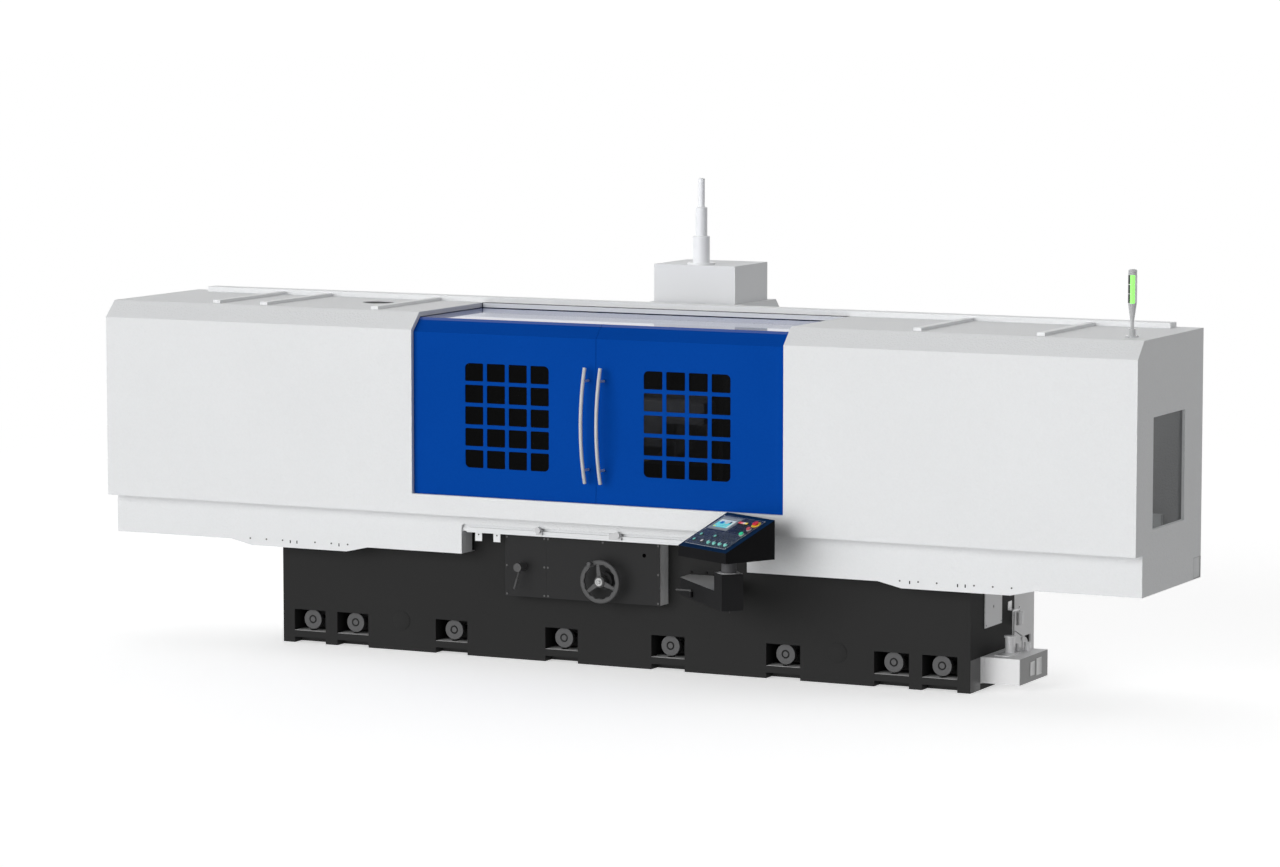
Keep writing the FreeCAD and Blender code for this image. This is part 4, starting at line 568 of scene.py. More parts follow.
# The door seal. A black rubber lip on the edge of the left leaf closes the gap where the leaves
# meet, up the front, over the bevel and back along the roof.
door_low, door_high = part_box("left_door")
seal_half = 0.0008
seal_depth = 0.012
bevel_foot = 1.9117
seal_top = 2.0045
seal_path = [(door_low.y + 0.004, door_low.z + 0.022), (door_low.y + 0.004, bevel_foot),
             (door_low.y + 0.101, seal_top), (door_high.y - 0.006, seal_top)]
seal = begun("door_seal", bpy.ops.mesh.primitive_plane_add, size=seal_half * 2)
for corner in seal.data.vertices:
    corner.co = (corner.co.x, seal_path[0][0] + (seal_depth if corner.co.y > 0 else 0), seal_path[0][1])
picked(seal, lambda face: True)
for (y, z), (next_y, next_z) in zip(seal_path, seal_path[1:]):
    bpy.ops.mesh.extrude_region_move(TRANSFORM_OT_translate={"value": (0, next_y - y, next_z - z)})
settled(outward(seal), "left_door", rubber)

# The end window. A clear pane in the right-hand wall is held in a thin white bead behind the ring
# that is welded round its hole.
clear_glass = safety_glass("clear_glass", 6.0, ((0.1, 0.1, 0.1), (0.16, 0.16, 0.16)), 0.08, 0.1, 0.5,
                           (0.92, 0.93, 0.93), 0.8)
dressed(clear_glass, "end_window")
pane_low, pane_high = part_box("end_window")
pane_lap = 0.01
bead_width = 0.004
bead = plate("window_bead", (pane_high.x, pane_low.y + pane_lap, pane_low.z + pane_lap),
             (pane_high.x + bead_width, pane_high.y - pane_lap, pane_high.z - pane_lap))
picked(bead, lambda face: abs(face.normal.x) > 0.9)
bpy.ops.mesh.inset(thickness=bead_width)
bpy.ops.mesh.bridge_edge_loops()
bpy.ops.object.mode_set(mode="OBJECT")
settled(bead, "machine", white_coat)

# The signal lamp. A polished foot and cone carry a stacked lens whose green glow is painted on one
# side as a painted highlight, with painted light and shade on its sides; three small screws hold the foot to
# the roof.
lamp_low, lamp_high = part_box("signal_lamp_column")
lamp_axis = (lamp_low + lamp_high) / 2
lamp_radius = (lamp_high.x - lamp_low.x) / 2
lit_side = Vector((0.347, -0.938, 0.0))
lit_share = 0.848
lens_count = 3
joint_width = 0.0024
chrome = polished_metal("chrome", (0.8, 0.81, 0.82), 0.12, (400, 400, 400), 0.04, 0.55)
dressed(chrome, "signal_lamp_base")


def lit_lens():
    """Stacked lenses whose green glow is painted only on a strip in front as a painted highlight, with
    painted light on the left and painted shade on the right.
    """
    start, place = bare_finish("lit_lens")
    strip = reach(place, lit_side) > lit_side.dot(lamp_axis) + lit_share * lamp_radius
    height = coordinate(place, "Z") - lamp_low.z + 0.001
    joint = (height % ((lamp_high.z - lamp_low.z) / lens_count)) < joint_width
    # Painted light and shade: the lens is pale on its left and dark on its right.
    side = blended(coordinate(place, "X") < lamp_axis.x, (0.92, 0.92, 0.93), (0.07, 0.07, 0.07))
    side = blended(joint, side, (0.98, 0.98, 0.98))
    colour = blended(strip, side, (0.2, 0.75, 0.12))
    light = blended(strip, (0.0, 0.0, 0.0), (0.38, 0.95, 0.22))
    return painted(start, {
        "Base Color": colour, "Roughness": 0.2 + cloudy(place, 60.0) * 0.1, "Emission Color": light,
        "Emission Strength": 0.7})


dressed(lit_lens(), "signal_lamp_column")
foot_screw = turned("lamp_foot_screw", [(0.0035, 0), (0.0035, 0.002), (0.0015, 0.002), (0.0014, 0.0008)], 16)
foot_top = roof_top + 0.008
foot_circle = 0.029
foot_places = []
for angle in (30, 150, 270):
    turn = math.radians(angle)
    foot_places.append(at(lamp_axis.x + foot_circle * math.cos(turn),
                          lamp_axis.y + foot_circle * math.sin(turn), foot_top))
settled_copies(foot_screw, foot_places, "machine", zinc)

# The bed. A long iron casting in fine textured black, with a sealed core hole near each end of its
# front. It stands on iron wedges; each foot pocket has a floor plate painted light grey as painted light,
# and a plugged anchor hole.
black_casting = sprayed_coat("black_casting", (0.026, 0.026, 0.026), 0.6, 220, 0.0006, 0.18, 0.1)
dressed(black_casting, "bed", "cross_bed", "column")
bed_low, bed_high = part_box("bed")
core = turned("core_cover", [(0.0575, 0), (0.0575, 0.0022), (0.0555, 0.003)], 64)
core_height = 0.178
forwards = (0, -1, 0)
core_places = [facing((x, bed_low.y, core_height), forwards) for x in (-1.416, 1.416)]
settled_copies(core, core_places, "machine", black_casting)
pocket_places = []
for share in (0.1552, 0.4834, 0.7848, 0.917):
    for x in (-share * bed_high.x, share * bed_high.x):
        pocket_places.append(at(x, bed_low.y, 0))
        pocket_places.append(at(x, bed_high.y, 0) @ Matrix.Rotation(math.pi, 4, "Z"))
pocket_half = 0.1065
pocket_step = 0.0751
wedge = plate("levelling_wedge", (-pocket_half, 0.08, 0), (pocket_half, 0.1945, 0.0325), 0.002)
settled_copies(wedge, pocket_places, "machine", black_casting)
# Painted light: the pocket floors are painted light grey where they lie in shade.
painted_light_iron = sprayed_coat("painted_light_iron", (0.42, 0.42, 0.42), 0.6, 300, 0.0003, 0.15, 0.2)
pocket_floor = plate("pocket_floor", (-pocket_half, 0.001, pocket_step - 0.002),
                     (pocket_half, 0.13, pocket_step), 0.0006)
settled_copies(pocket_floor, pocket_places, "machine", painted_light_iron)
anchor = turned("anchor_plug", [(0.022, 0), (0.022, 0.0012), (0.02, 0.0018)], 32)
settled_copies(moved(anchor, at(0, 0.045, pocket_step)), pocket_places, "machine", rubber)

# The adjusters. A turned iron disc with a ring groove stands in each foot pocket. Turning it levels
# the bed. A black ring laid in the groove is painted shade.
adjuster_grey = sprayed_coat("adjuster_grey", (0.088, 0.088, 0.09), 0.5, 300, 0.0003, 0.15)
dressed(adjuster_grey, "levelling_wheels")
adjuster = turned("adjuster_disc", [
    (0.057, -0.0205), (0.0585, -0.019), (0.0585, 0.007), (0.0575, 0.008), (0.0255, 0.008),
    (0.025, 0.0045), (0.0165, 0.0045), (0.016, 0.008), (0.004, 0.008)], 48)
adjuster_face = facing((0, 0.042, 0.1412), forwards)
settled_copies(moved(adjuster, adjuster_face), pocket_places, "machine", adjuster_grey)
# Painted shade: a black ring fills the groove's floor.
groove = turned("adjuster_groove_shade", [(0.0249, 0.0045), (0.0249, 0.0054), (0.0166, 0.0054)], 48)
settled_copies(moved(groove, adjuster_face), pocket_places, "machine", rubber)

# The end plates. A light sheet plate on each end of the bed, with four small screws, covers the
# screw's bearing.
end_grey = sprayed_coat("end_grey", (0.78, 0.78, 0.785), 0.42, 260, 0.0003, 0.06)
dressed(end_grey, "bed_end_covers")
end_low, end_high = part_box("bed_end_covers")
end_screw = turned("end_plate_screw", [(0.005, 0), (0.005, 0.002), (0.002, 0.002), (0.0018, 0.0008)], 16)
end_inset = 0.014
end_places = [facing((side * end_high.x, y, z), (side, 0, 0)) for side in (-1, 1)
              for y in (end_low.y + end_inset, end_high.y - end_inset)
              for z in (end_low.z + end_inset, end_high.z - end_inset)]
settled_copies(end_screw, end_places, "machine", zinc)

# The ways, screws and table. Ground steel ways and screws, with the servo motors of both drives
# in black, carry a cast table with a magnetic chuck on it.
cross_motor_front = 1.19


def drive_steel():
    """Ground screws, with the motors at their ends painted black."""
    start, place = bare_finish("drive_steel")
    table_motor = coordinate(place, "X") < bed_low.x
    motor = table_motor.maths("MAXIMUM", table_motor, coordinate(place, "Y") > cross_motor_front)
    streak = cloudy(place, 60.0, 3.0)
    steel = blended(streak, (0.5, 0.5, 0.51), (0.58, 0.58, 0.59))
    return painted(start, {
        "Base Color": blended(motor, steel, (0.03, 0.03, 0.032)), "Metallic": 1 - motor,
        "Roughness": 0.3 + streak * 0.1 + motor * 0.15})


dressed(drive_steel(), "feed_screws")
ground_steel = polished_metal("ground_steel", (0.55, 0.55, 0.56), 0.3, along_x)
dressed(ground_steel, "guide_rails", "table")
pole_pitch = 0.018
pole_gap = 0.003


def pole_face():
    """Ground steel with the thin brass gaps between the poles."""
    start, place = bare_finish("pole_face")
    gap = (coordinate(place, "X") % pole_pitch) < pole_gap
    return painted(start, {
        "Base Color": blended(gap, (0.45, 0.45, 0.46), (0.5, 0.36, 0.16)), "Metallic": 0.9,
        "Roughness": 0.28 + cloudy(place, 40.0) * 0.15})


dressed(pole_face(), "magnetic_chuck")

# The column cover and top box. White sheet housings over the column, with the telescopic guard of
# the rising screw above them, three drawn tubes in a satin light finish.
box_white = sprayed_coat("box_white", (0.79, 0.8, 0.815), 0.55, 260, 0.0003)
dressed(box_white, "column_cover", "column_top_box")
satin_tube = sprayed_coat("satin_tube", (0.9, 0.91, 0.925), 0.3, 300, 0.0002, 0.04)
dressed(satin_tube, "guard_lower_tube", "guard_middle_tube", "guard_upper_tube")
dressed(ground_steel, "z_screw")

# The wheelhead. A grey casting on the column's rails carries the spindle, the wheel and a sheet
# guard whose front is held by six cap screws.
light_grey = sprayed_coat("light_grey", (0.33, 0.33, 0.335), 0.42, 260, 0.0003, 0.08)
dressed(light_grey, "wheelhead", "wheel_guard")


def grit():
    """White corundum grain in a vitrified bond."""
    start, place = bare_finish("grit")
    grain = cloudy(place, 900, 4.0)
    return painted(start, {
        "Base Color": blended(grain, (0.35, 0.33, 0.3), (0.7, 0.68, 0.64)),
        "Roughness": 0.85 + grain * 0.1, "Normal": pebbled(grain, 0.0006)})


dressed(grit(), "grinding_wheel")
dressed(polished_metal("flange_steel", (0.5, 0.5, 0.51), 0.3), "wheel_flange")
guard_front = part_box("wheel_guard")[0].y
wheel_radius = 0.175
spindle_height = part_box("grinding_wheel")[1].z - wheel_radius
screw_circle = 0.183
cap_screw = turned("guard_screw", [
    (0.008, 0), (0.008, 0.007), (0.007, 0.008), (0.004, 0.008), (0.004, 0.003)], 24)
guard_places = []
for angle in (0, 36, 72, 108, 144, 180):
    turn = math.radians(angle)
    guard_places.append(facing((screw_circle * math.cos(turn), guard_front,
                                spindle_height + screw_circle * math.sin(turn)), forwards))
settled_copies(cap_screw, guard_places, "wheelhead", zinc)

# The hydraulic unit. A folded light grey tank on four legs behind the bed with its motor hung under
# it; a black sheet between the legs at its back is painted shade.
dressed(sprayed_coat("unit_grey", (0.72, 0.72, 0.725), 0.42, 260, 0.0003, 0.06), "hydraulic_unit")
unit_low, unit_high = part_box("hydraulic_unit")
leg_width = 0.012
# Painted shade: a black sheet fills the back between the legs.
shade_sheet = plate("unit_shade_sheet", (unit_low.x + leg_width, unit_high.y - 0.014, 0.03),
                   (unit_high.x - leg_width, unit_high.y - 0.011, 0.222), 0.0008)
settled(shade_sheet, "machine", black_coat)

# The gear case. A cast case with two thin covers on the front of the bed; its right side is painted
# near white as painted light, and small black screws hold the covers.
case_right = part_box("apron_housing")[1].x


def painted_side_tone(name, spread, depth, gloss, limit, shades, painted_side_shades):
    """Cloudy paint in one pair of shades, and in another pair to the right of a limit, as painted light or
    shade on that side.
    """
    start, place, cloud, speck = grained_finish(name, spread, 260)
    end = coordinate(place, "X") > limit
    return painted(start, {
        "Base Color": blended(end, blended(cloud, *shades), blended(cloud, *painted_side_shades)),
        "Roughness": gloss + cloud * 0.1, "Normal": pebbled(speck, depth)})


# Painted light: the case's right side is painted near white where it lies in shade.
case_paint = painted_side_tone("case_paint", 1.3, 0.0004, 0.5, case_right - 0.0005,
                      ((0.022, 0.022, 0.023), (0.03, 0.03, 0.031)), ((0.92, 0.92, 0.92), (0.92, 0.92, 0.92)))
dressed(case_paint, "apron_housing")
dressed(sprayed_coat("cover_black", (0.0165, 0.0165, 0.017), 0.5, 260, 0.0004, 0.15), "apron_covers")
cover_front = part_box("apron_covers")[0].y
# Painted shade: a black disc on the cover stands for the shade inside a hole.
hole_shade_disc = turned("hole_shade_disc", [(0.0115, -0.001), (0.0115, 0.0006), (0.0095, 0.001)], 32)
plug_place = facing((0.246, cover_front, 0.6773), forwards)
hole_shade_black = sprayed_coat("hole_shade_black", (0.001, 0.001, 0.001), 0.9, 260, 0.0002, 0.0, 0.0)
settled(moved(hole_shade_disc, plug_place), "machine", hole_shade_black)
dressed(sprayed_coat("dull_screw", (0.1, 0.1, 0.1), 0.4, 300, 0.0001, 0.1), "cover_screws")

# The handwheel's rim. A dark cast ring, full and rounded, scalloped inside for the fingers. The
# lever has the same finish, and the turning knob is of dark plastic.
wheel_height = 0.52
rim_y = -0.7560615
rim_outer = 0.1265
rim_half_width = 0.0155
rim_half_depth = 0.0095
rim_radius = rim_outer - rim_half_width
finger_waves = 14
finger_depth = 0.006
roundness = 0.6
wheel_grey = sprayed_coat("wheel_grey", (0.085, 0.085, 0.086), 0.35, 300, 0.0002, 0.15, 0.3)
dressed(wheel_grey, "handwheel", "reversing_lever")
dressed(sprayed_coat("dark_grip", (0.095, 0.095, 0.097), 0.4, 300, 0.0002, 0.1, 0.3), "handwheel_knob")
wheel_place = at(0, rim_y, wheel_height)
rim = begun("handwheel_rim", bpy.ops.mesh.primitive_torus_add, major_radius=rim_radius,
            minor_radius=rim_half_width, major_segments=128, minor_segments=24,
            rotation=(math.radians(90), 0, 0))
for point in rim.data.vertices:
    out = math.hypot(point.co.x, point.co.z)
    across = (out - rim_radius) / rim_half_width
    deep = point.co.y / rim_half_width
    wave = 0.5 + 0.5 * math.cos(finger_waves * math.atan2(point.co.z, point.co.x))
    new_out = rim_radius + math.copysign(abs(across) ** roundness, across) * rim_half_width
    new_out += finger_depth * max(0.0, -across) * wave
    point.co.x *= new_out / out
    point.co.z *= new_out / out
    point.co.y = math.copysign(abs(deep) ** roundness, deep) * rim_half_depth
settled(moved(rim, wheel_place), "handwheel", wheel_grey)
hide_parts("handwheel")

# The handwheel's spokes. Three wide arms, cast in one with the rim, grow narrower from the hub
# outwards, and their edges are rounded.
spoke_end = 0.106
spoke = plate("handwheel_spoke", (0.02, -0.0075, -0.017), (spoke_end, 0.0075, 0.017))
picked(spoke, lambda face: face.normal.x > 0.9)
bpy.ops.transform.resize(value=(1, 0.7, 0.56), center_override=(spoke_end, 0, 0))
bpy.ops.object.mode_set(mode="OBJECT")
eased(spoke, 0.004, 3)
spoke_places = [wheel_place @ Matrix.Rotation(math.radians(-angle), 4, "Y") for angle in (98, 218, 338)]
settled_copies(spoke, spoke_places, "handwheel", wheel_grey)

# The hub, its nut and the knob's pin. A stepped turned hub reaches into the gear case, with a
# bright domed nut in front; the pin that carries the knob is bright steel.
hub_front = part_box("handwheel_knob")[1].y - 0.0085
hub_place = facing((0, hub_front, wheel_height), forwards)
hub = turned("handwheel_hub", [
    (0.015, -0.15), (0.015, -0.066), (0.027, -0.066), (0.029, -0.063), (0.029, -0.036), (0.033, -0.031),
    (0.033, -0.009), (0.03, -0.006), (0.02, -0.005)], 64)
settled(moved(hub, hub_place), "handwheel", wheel_grey)
nut = turned("hub_nut", [
    (0.0238, -0.0065), (0.0238, -0.001), (0.0224, 0.0006), (0.015, 0.0006), (0.0142, -0.0022),
    (0.0104, -0.0022), (0.0098, 0.0038), (0.0084, 0.006), (0.004, 0.0066), (0.0034, 0.005)], 48)
bright = polished_metal("bright", (0.78, 0.78, 0.78), 0.28, (400, 400, 400), 0.05, 0.6)
settled(moved(nut, hub_place), "handwheel", bright)
pin_turn = math.radians(118)
pin_circle = 0.117
pin_place = facing((pin_circle * math.cos(pin_turn), rim_y, wheel_height + pin_circle * math.sin(pin_turn)),
                   forwards)
pin = turned("knob_pin", [(0.0045, 0.0), (0.0045, 0.0365), (0.0038, 0.0373)], 24)
settled(moved(pin, pin_place), "handwheel", bright)

# The stroke rail. A drilled white rail across the recess, with a folded strip behind it, and a groove
# for the two stops, whose clamping knobs are white plastic.
dressed(sprayed_coat("rail_white", (0.74, 0.75, 0.76), 0.4, 260, 0.0002, 0.06), "stroke_rail")
rail_half = 0.9215
backing = plate("rail_backing", (-rail_half, -0.7095, 0.77), (rail_half, -0.7065, 0.8035), 0.0005)
settled(backing, "machine", white_coat)
knob_white = sprayed_coat("knob_white", (0.56, 0.56, 0.57), 0.35, 400, 0.0001, 0.06)
dressed(knob_white, "left_stroke_stop", "right_stroke_stop")

# The console arm. A welded box-section bar in semi-gloss black with a bare steel post; its flat tops
# are painted pale grey as painted light. Bolts hold it to the bed, and a clamping latch hangs on its side.
post_place = Vector((0.994, -1.1261, 0.677))
post_low = 0.6785
post_high = 0.7435


def within(value, low, high):
    """One where the value lies between two marks, and nought elsewhere."""
    return (value > low) * (value < high)


def arm_paint():
    """Black paint, with painted light on the flat tops, and the bare post."""
    start, place, cloud, speck = grained_finish("arm_paint", 5.0, 300)
    flat_top = coordinate(start.node("ShaderNodeNewGeometry", output="Normal"), "Z") > 0.9
    black = blended(cloud, (0.015, 0.015, 0.016), (0.021, 0.021, 0.022))
    # Painted light: the flat tops are painted pale grey.
    lit_top = blended(cloud, (0.33, 0.33, 0.33), (0.42, 0.42, 0.42))
    post = within(coordinate(place, "Z"), post_low, post_high)
    return painted(start, {
        "Base Color": blended(post, blended(flat_top, black, lit_top), (0.095, 0.095, 0.1)),
        "Roughness": 0.4 + cloud * 0.1, "Normal": pebbled(speck, 0.0003), "Specular IOR Level": 0.1})


dressed(arm_paint(), "console_arm")
dressed(wheel_grey, "arm_latch")
post_ring = turned("post_ring", [(0.062, 0), (0.062, 0.003), (0.0605, 0.004), (0.0425, 0.004)], 48)
settled(moved(post_ring, at(*post_place)), "machine", zinc)
drain_pin = turned("drain_pin", [(0.003, -0.0215), (0.003, 0.0005)], 16)
settled(moved(drain_pin, at(1.0, -1.1261, 0.471)), "machine", black_coat)
arm_bolt = turned("arm_bolt", [
    (0.0065, 0), (0.0065, 0.006), (0.0055, 0.007), (0.0035, 0.007), (0.0034, 0.004)], 24)
bolt_height = 0.585
bolt_places = [facing((x, bed_low.y, bolt_height), forwards) for x in (0.497, 0.594)]
settled_copies(arm_bolt, bolt_places, "machine", rubber)

# The console's shell and panel. A folded steel wedge, navy on its sloping face and black on its
# sides, turned towards the operator, with a printed foil panel on the face.
console_turn = Matrix.Rotation(math.radians(-28.3), 4, "Z")
face_slope = Matrix.Rotation(math.atan2(0.161, 0.34), 4, "X")
console_place = at(0.971, -1.1080615, 0.76)
face = console_place @ console_turn @ at(0, -0.17, 0.061) @ face_slope
face_normal = face.to_3x3() @ Vector((0, 0, 1))
panel_top = 0.003


def shell_paint():
    """Black powder coat, navy on the sloping face."""
    start, place, cloud, speck = grained_finish("shell_paint", 6.0, 400, 3.0)
    front = reach(place, face_normal) > face_normal.dot(face.translation) - 0.0012
    black = blended(cloud, (0.008, 0.008, 0.009), (0.012, 0.012, 0.013))
    return painted(start, {
        "Base Color": blended(front, black, (0.004, 0.021, 0.06)), "Roughness": 0.38 + cloud * 0.1,
        "Normal": pebbled(speck, 0.0001), "Specular IOR Level": 0.04})


dressed(shell_paint(), "console_shell")


def flat(place):
    """A point on the console's face as distances across and up it."""
    back = face.inverted()
    return [reach(place, back[row][:3]) + back[row][3] for row in (0, 1)]


def patch(spot, left, right, low, high):
    """One inside a rectangle of the face, and nought elsewhere."""
    return within(spot[0], left, right) * within(spot[1], low, high)


def panel_print():
    """Slate foil with a light edge line, a paler screen surround and faint printed rules."""
    start, place = bare_finish("panel_print")
    spot = across, up = flat(place)
    cloud = cloudy(place, 14.0, 3.0)
    foil = blended(cloud, (0.02, 0.025, 0.035), (0.045, 0.052, 0.064))
    lower = up < 0.18
    foil = blended(lower * 0.5, foil, (0.05, 0.06, 0.072))
    marks = (cloudy(place, 430, 1.0) > 0.6) * lower
    foil = blended(marks * 0.5, foil, (0.26, 0.31, 0.33))
    surround = patch(spot, -0.198, -0.012, 0.195, 0.338)
    foil = blended(surround, foil, blended(cloud, (0.17, 0.19, 0.21), (0.34, 0.37, 0.4)))
    edge = patch(spot, -0.2015, 0.1785, 0.0325, 0.3455) - patch(spot, -0.2, 0.177, 0.034, 0.344)
    foil = blended(edge, foil, (0.35, 0.38, 0.42))
    rules = within(up, 0.18, 0.1815) + within(across, -0.0075, -0.006) * (up > 0.18)
    rules = rules + patch(spot, -0.19, 0.17, 0.101, 0.1018)
    speck = cloudy(place, 520, 1.0) > 0.6
    dashes = within((up + 0.004) % 0.0285, 0.0, 0.0032) * within(across % 0.0265, 0.004, 0.021) * speck
    ink = rules * 0.5 + dashes * (1 - surround) * 0.8
    colour = blended(ink.maths("MINIMUM", ink, 1.0), foil, (0.45, 0.5, 0.56))
    return painted(start, {"Base Color": colour, "Roughness": 0.22 + cloud * 0.1})


dressed(panel_print(), "console_panel")

# The display. A glass screen in a pressed pale frame that is screwed to the upper left of the panel.
# It shows a plain machine page, whose blocks are given by their edges and colour.
page_blocks = (((-0.15, -0.122, 0.258, 0.282), (0.01, 0.16, 0.5)),
               ((-0.11, -0.08, 0.262, 0.29), (0.55, 0.6, 0.62)),
               ((-0.074, -0.058, 0.268, 0.29), (0.02, 0.03, 0.08)),
               ((-0.05, -0.036, 0.222, 0.292), (0.72, 0.8, 0.82)))


def screen_picture():
    """A generic machine page: pale blocks, bars and rows of plain cells on a cyan ground."""
    start, place = bare_finish("screen_picture")
    spot = across, up = flat(place)
    ground = blended(cloudy(place, 30.0), (0.1, 0.62, 0.74), (0.16, 0.72, 0.82))
    colour = blended(up > 0.275, ground, (0.62, 0.72, 0.76))
    for edges, shade in page_blocks:
        colour = blended(patch(spot, *edges), colour, shade)
    cells = within(across % 0.018, 0.004, 0.012) * within(up % 0.016, 0.004, 0.01) * (up < 0.255)
    colour = blended(cells * 0.6, colour, (0.75, 0.85, 0.62))
    colour = blended(patch(spot, -0.168, -0.15, 0.222, 0.234), colour, (0.75, 0.78, 0.05))
    return painted(start, {
        "Base Color": (0.02, 0.02, 0.02, 1.0), "Roughness": 0.15, "Emission Color": colour,
        "Emission Strength": 0.8})


def face_plate(name, low, high, bottom, top, edge=0.0005):
    """A block laid on the panel between two corners, from a bottom to a top above the panel."""
    return moved(plate(name, (*low, panel_top + bottom), (*high, panel_top + top), edge), face)


bezel = plate("screen_frame", (-0.19, 0.205, panel_top - 0.0005), (-0.018, 0.328, panel_top + 0.003))
sunk(bezel, (0, 0, 1), 0.014, 0.0025)
eased(bezel, 0.0008)
dark_plastic = sprayed_coat("dark_plastic", (0.016, 0.017, 0.02), 0.35, 400, 0.0001, 0.15)
pale_metal = sprayed_coat("pale_metal", (0.3, 0.33, 0.36), 0.3, 400, 0.0001, 0.15)
settled(moved(bezel, face), "console", pale_metal)
screen = face_plate("screen", (-0.174, 0.216), (-0.034, 0.3), 0, 0.0016, 0.0003)
settled(screen, "console", screen_picture())

# The lamps. Four small square lenses sit side by side in a black strip beside the display. Each is
# moulded in its own colour and glows a little.
lamp_block = face_plate("lamp_strip", (-0.006, 0.279), (0.08, 0.303), 0, 0.004)
settled(lamp_block, "console", dark_plastic)


def moulded(name, colour, gloss=0.3, glow=0.0):
    """Moulded plastic with a glow: lit from inside on the lamps, and a painted glow on the caps, buttons and
    ring that are no lamps.
    """
    start, place = bare_finish(name)
    cloud = cloudy(place, 90.0)
    return painted(start, {
        "Base Color": blended(cloud, [part * 0.9 for part in colour], colour),
        "Roughness": gloss - 0.03 + cloud * 0.06, "Emission Color": opaque(colour),
        "Emission Strength": glow})


lamp_colours = (("red_lamp", (0.75, 0.05, 0.07)), ("pink_lamp", (0.8, 0.22, 0.25)),
                ("white_lamp", (0.75, 0.7, 0.62)), ("amber_lamp", (0.8, 0.62, 0.1)))
lamp_pitch = 0.0205
lamp_width = 0.0165
for number, (name, colour) in enumerate(lamp_colours):
    left = -0.002 + number * lamp_pitch
    lamp = face_plate(name, (left, 0.283), (left + lamp_width, 0.299), 0.003, 0.0065, 0.0015)
    settled(lamp, "console", moulded(name, colour, 0.3, 0.35))

# The keys. Four round plastic keys, three teal and one white, stand in black collars on the lower
# part of the panel.


def on_face(across, up, rise=panel_top):
    """The matrix that stands a piece on the sloping face."""
    return face @ at(across, up, rise)


# Painted light: the teal caps glow a little, though they are no lamps.
teal_cap = moulded("teal_cap", (0.22, 0.62, 0.55), 0.3, 0.1)
white_cap = moulded("white_cap", (0.8, 0.8, 0.8))
key_places = [on_face(*spot) for spot in ((-0.163, 0.131), (-0.162, 0.074), (-0.035, 0.133),
                                          (-0.086, 0.072))]
key_collar = turned("key_collar", [
    (0.0125, 0), (0.0125, 0.002), (0.0112, 0.0032), (0.01, 0.0032), (0.0098, 0.001)], 32)
key_cap = turned("key_cap", [(0.0095, 0.0008), (0.0095, 0.0048), (0.0085, 0.0058), (0.004, 0.0062)], 32)
for number, (place, finish) in enumerate(zip(key_places, (teal_cap, teal_cap, teal_cap, white_cap)), 1):
    settled(copied(key_collar, f"key_collar_{number}", place), "console", dark_plastic)
    settled(copied(key_cap, f"key_cap_{number}", place), "console", finish)
bpy.data.objects.remove(key_collar)
bpy.data.objects.remove(key_cap)

# The emergency stop and the push buttons. A red mushroom cap in a yellow ring, and below it a red
# and a green button in bright collars, down the right edge of the panel.
button_column = 0.143
stop_row = 0.3
# Painted light: the red cap glows a little, though it is no lamp.
red_cap = moulded("red_cap", (0.7, 0.04, 0.05), 0.3, 0.08)
mushroom = turned("emergency_cap", [
    (0.0104, -0.002), (0.0104, 0.0105), (0.019, 0.0115), (0.02, 0.0135), (0.018, 0.0165),
    (0.008, 0.018)], 40)
settled(moved(mushroom, on_face(button_column, stop_row, 0)), "emergency_stop", red_cap)
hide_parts("emergency_stop")
# Painted light: the stop and start buttons glow a little.
dressed(moulded("pink_cap", (0.62, 0.12, 0.14), 0.3, 0.08), "stop_button")
dressed(moulded("green_cap", (0.05, 0.68, 0.34), 0.3, 0.2), "start_button")
yellow_ring = turned("stop_surround", [
    (0.0118, 0), (0.029, 0), (0.029, 0.0015), (0.0275, 0.0025), (0.0135, 0.0025), (0.0118, 0.0015),
    (0.0118, 0)], 48)
# Painted light: the yellow ring glows a little, though it is no lamp.
settled(moved(bored(yellow_ring), on_face(button_column, stop_row)), "console",
        moulded("yellow_label", (0.8, 0.55, 0.03), 0.4, 0.08))
collar = bored(turned("button_collar", [
    (0.0136, 0), (0.0165, 0), (0.0165, 0.0025), (0.015, 0.004), (0.014, 0.004), (0.0136, 0.003),
    (0.0136, 0)], 40))
button_places = [on_face(button_column, up) for up in (0.245, 0.188)]
settled_copies(collar, button_places, "console", bright)

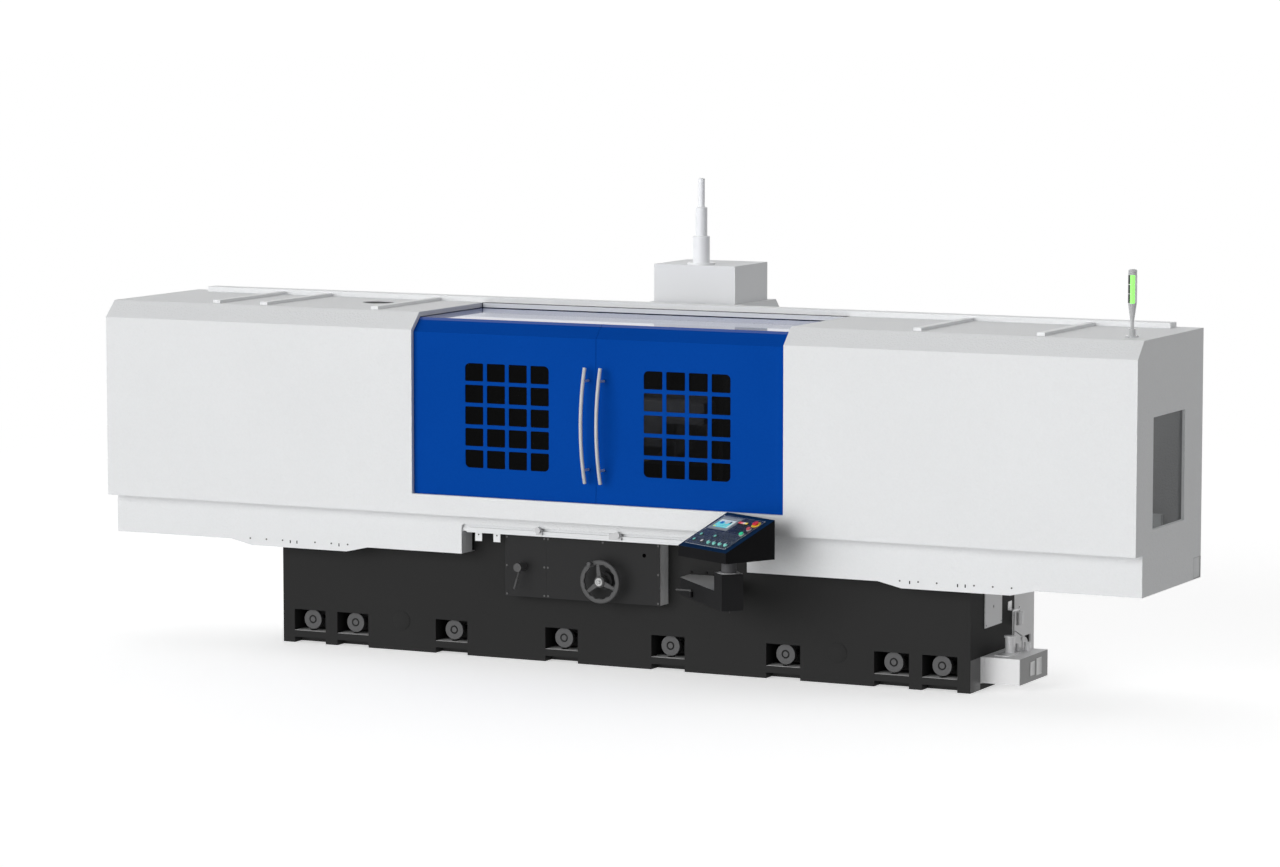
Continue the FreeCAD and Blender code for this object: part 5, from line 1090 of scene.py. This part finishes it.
# The selectors. Four teal rotary switches in a row, each a stepped round cap with a raised white
# mark that shows where it points.
selector_row = 0.0665
selector_pitch = 0.158 / 3
selector_columns = [-0.0185 + number * selector_pitch for number in range(4)]
cap_rings = [(0.0128, 0.003), (0.0128, 0.0045), (0.0112, 0.0058), (0.0098, 0.006), (0.0092, 0.011),
             (0.008, 0.0122), (0.003, 0.0125)]
selector_cap = turned("selector_cap", cap_rings, 40)
pointer = plate("selector_mark", (-0.0013, -0.002, 0.0118), (0.0013, 0.015, 0.0132), 0.0003)
for number, across in enumerate(selector_columns, 1):
    place = on_face(across, selector_row, 0)
    body = f"selector_{number}"
    cap = settled(copied(selector_cap, f"selector_cap_{number}", place), body, teal_cap)
    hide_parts(body)
    settled(copied(pointer, f"selector_mark_{number}", place), body, white_cap)
bpy.data.objects.remove(selector_cap)
bpy.data.objects.remove(pointer)

# The panel's screws. Six small zinc-plated screws with drilled heads hold the panel to the shell,
# three down each edge.
panel_screw = turned("panel_screw", [
    (0.0032, 0), (0.0032, 0.001), (0.0026, 0.0018), (0.0012, 0.0018), (0.0011, 0.0008)], 16)
screw_places = [on_face(across, up) for across in (-0.199, 0.176) for up in (0.039, 0.189, 0.339)]
settled_copies(panel_screw, screw_places, "console", zinc)

# The lubrication tank. A low folded tank on the end of the bed with its pump, filter and pipes, an
# end painted dark as painted shade with two lighter sight windows in it, and the dark plate that joins it to
# the bed.
tank_low, tank_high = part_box("lube_tank")
# Painted shade: the tank's right end is painted much darker than its front.
tank_paint = painted_side_tone("tank_paint", 5.0, 0.0003, 0.4, tank_high.x - 0.0006,
                      ((0.7, 0.7, 0.705), (0.78, 0.78, 0.785)), ((0.3, 0.3, 0.3), (0.36, 0.36, 0.36)))
dressed(tank_paint, "lube_tank")
dressed(polished_metal("pump_zinc", (0.9, 0.9, 0.91), 0.25, metal=0.3), "lube_pump")
mount = plate("tank_mount", (bed_high.x, bed_low.y + 0.002, 0.004),
              (bed_high.x + 0.003, tank_low.y, tank_high.z), 0.0008)
settled(mount, "machine", sprayed_coat("mount_grey", (0.11, 0.11, 0.11), 0.5, 300, 0.0002))
window_grey = sprayed_coat("window_grey", (0.8, 0.8, 0.8), 0.3, 300, 0.0001, 0.05)
sight_edges = ((-0.258, -0.192, 0.072, 0.151), (-0.164, -0.085, 0.063, 0.16))
for number, (front, back, low, high) in enumerate(sight_edges, 1):
    sight = plate(f"tank_sight_{number}", (tank_high.x - 0.001, front, low),
                  (tank_high.x + 0.003, back, high))
    sunk(sight, (1, 0, 0), 0.006, 0.0015)
    eased(sight, 0.0008)
    settled(sight, "machine", window_grey)
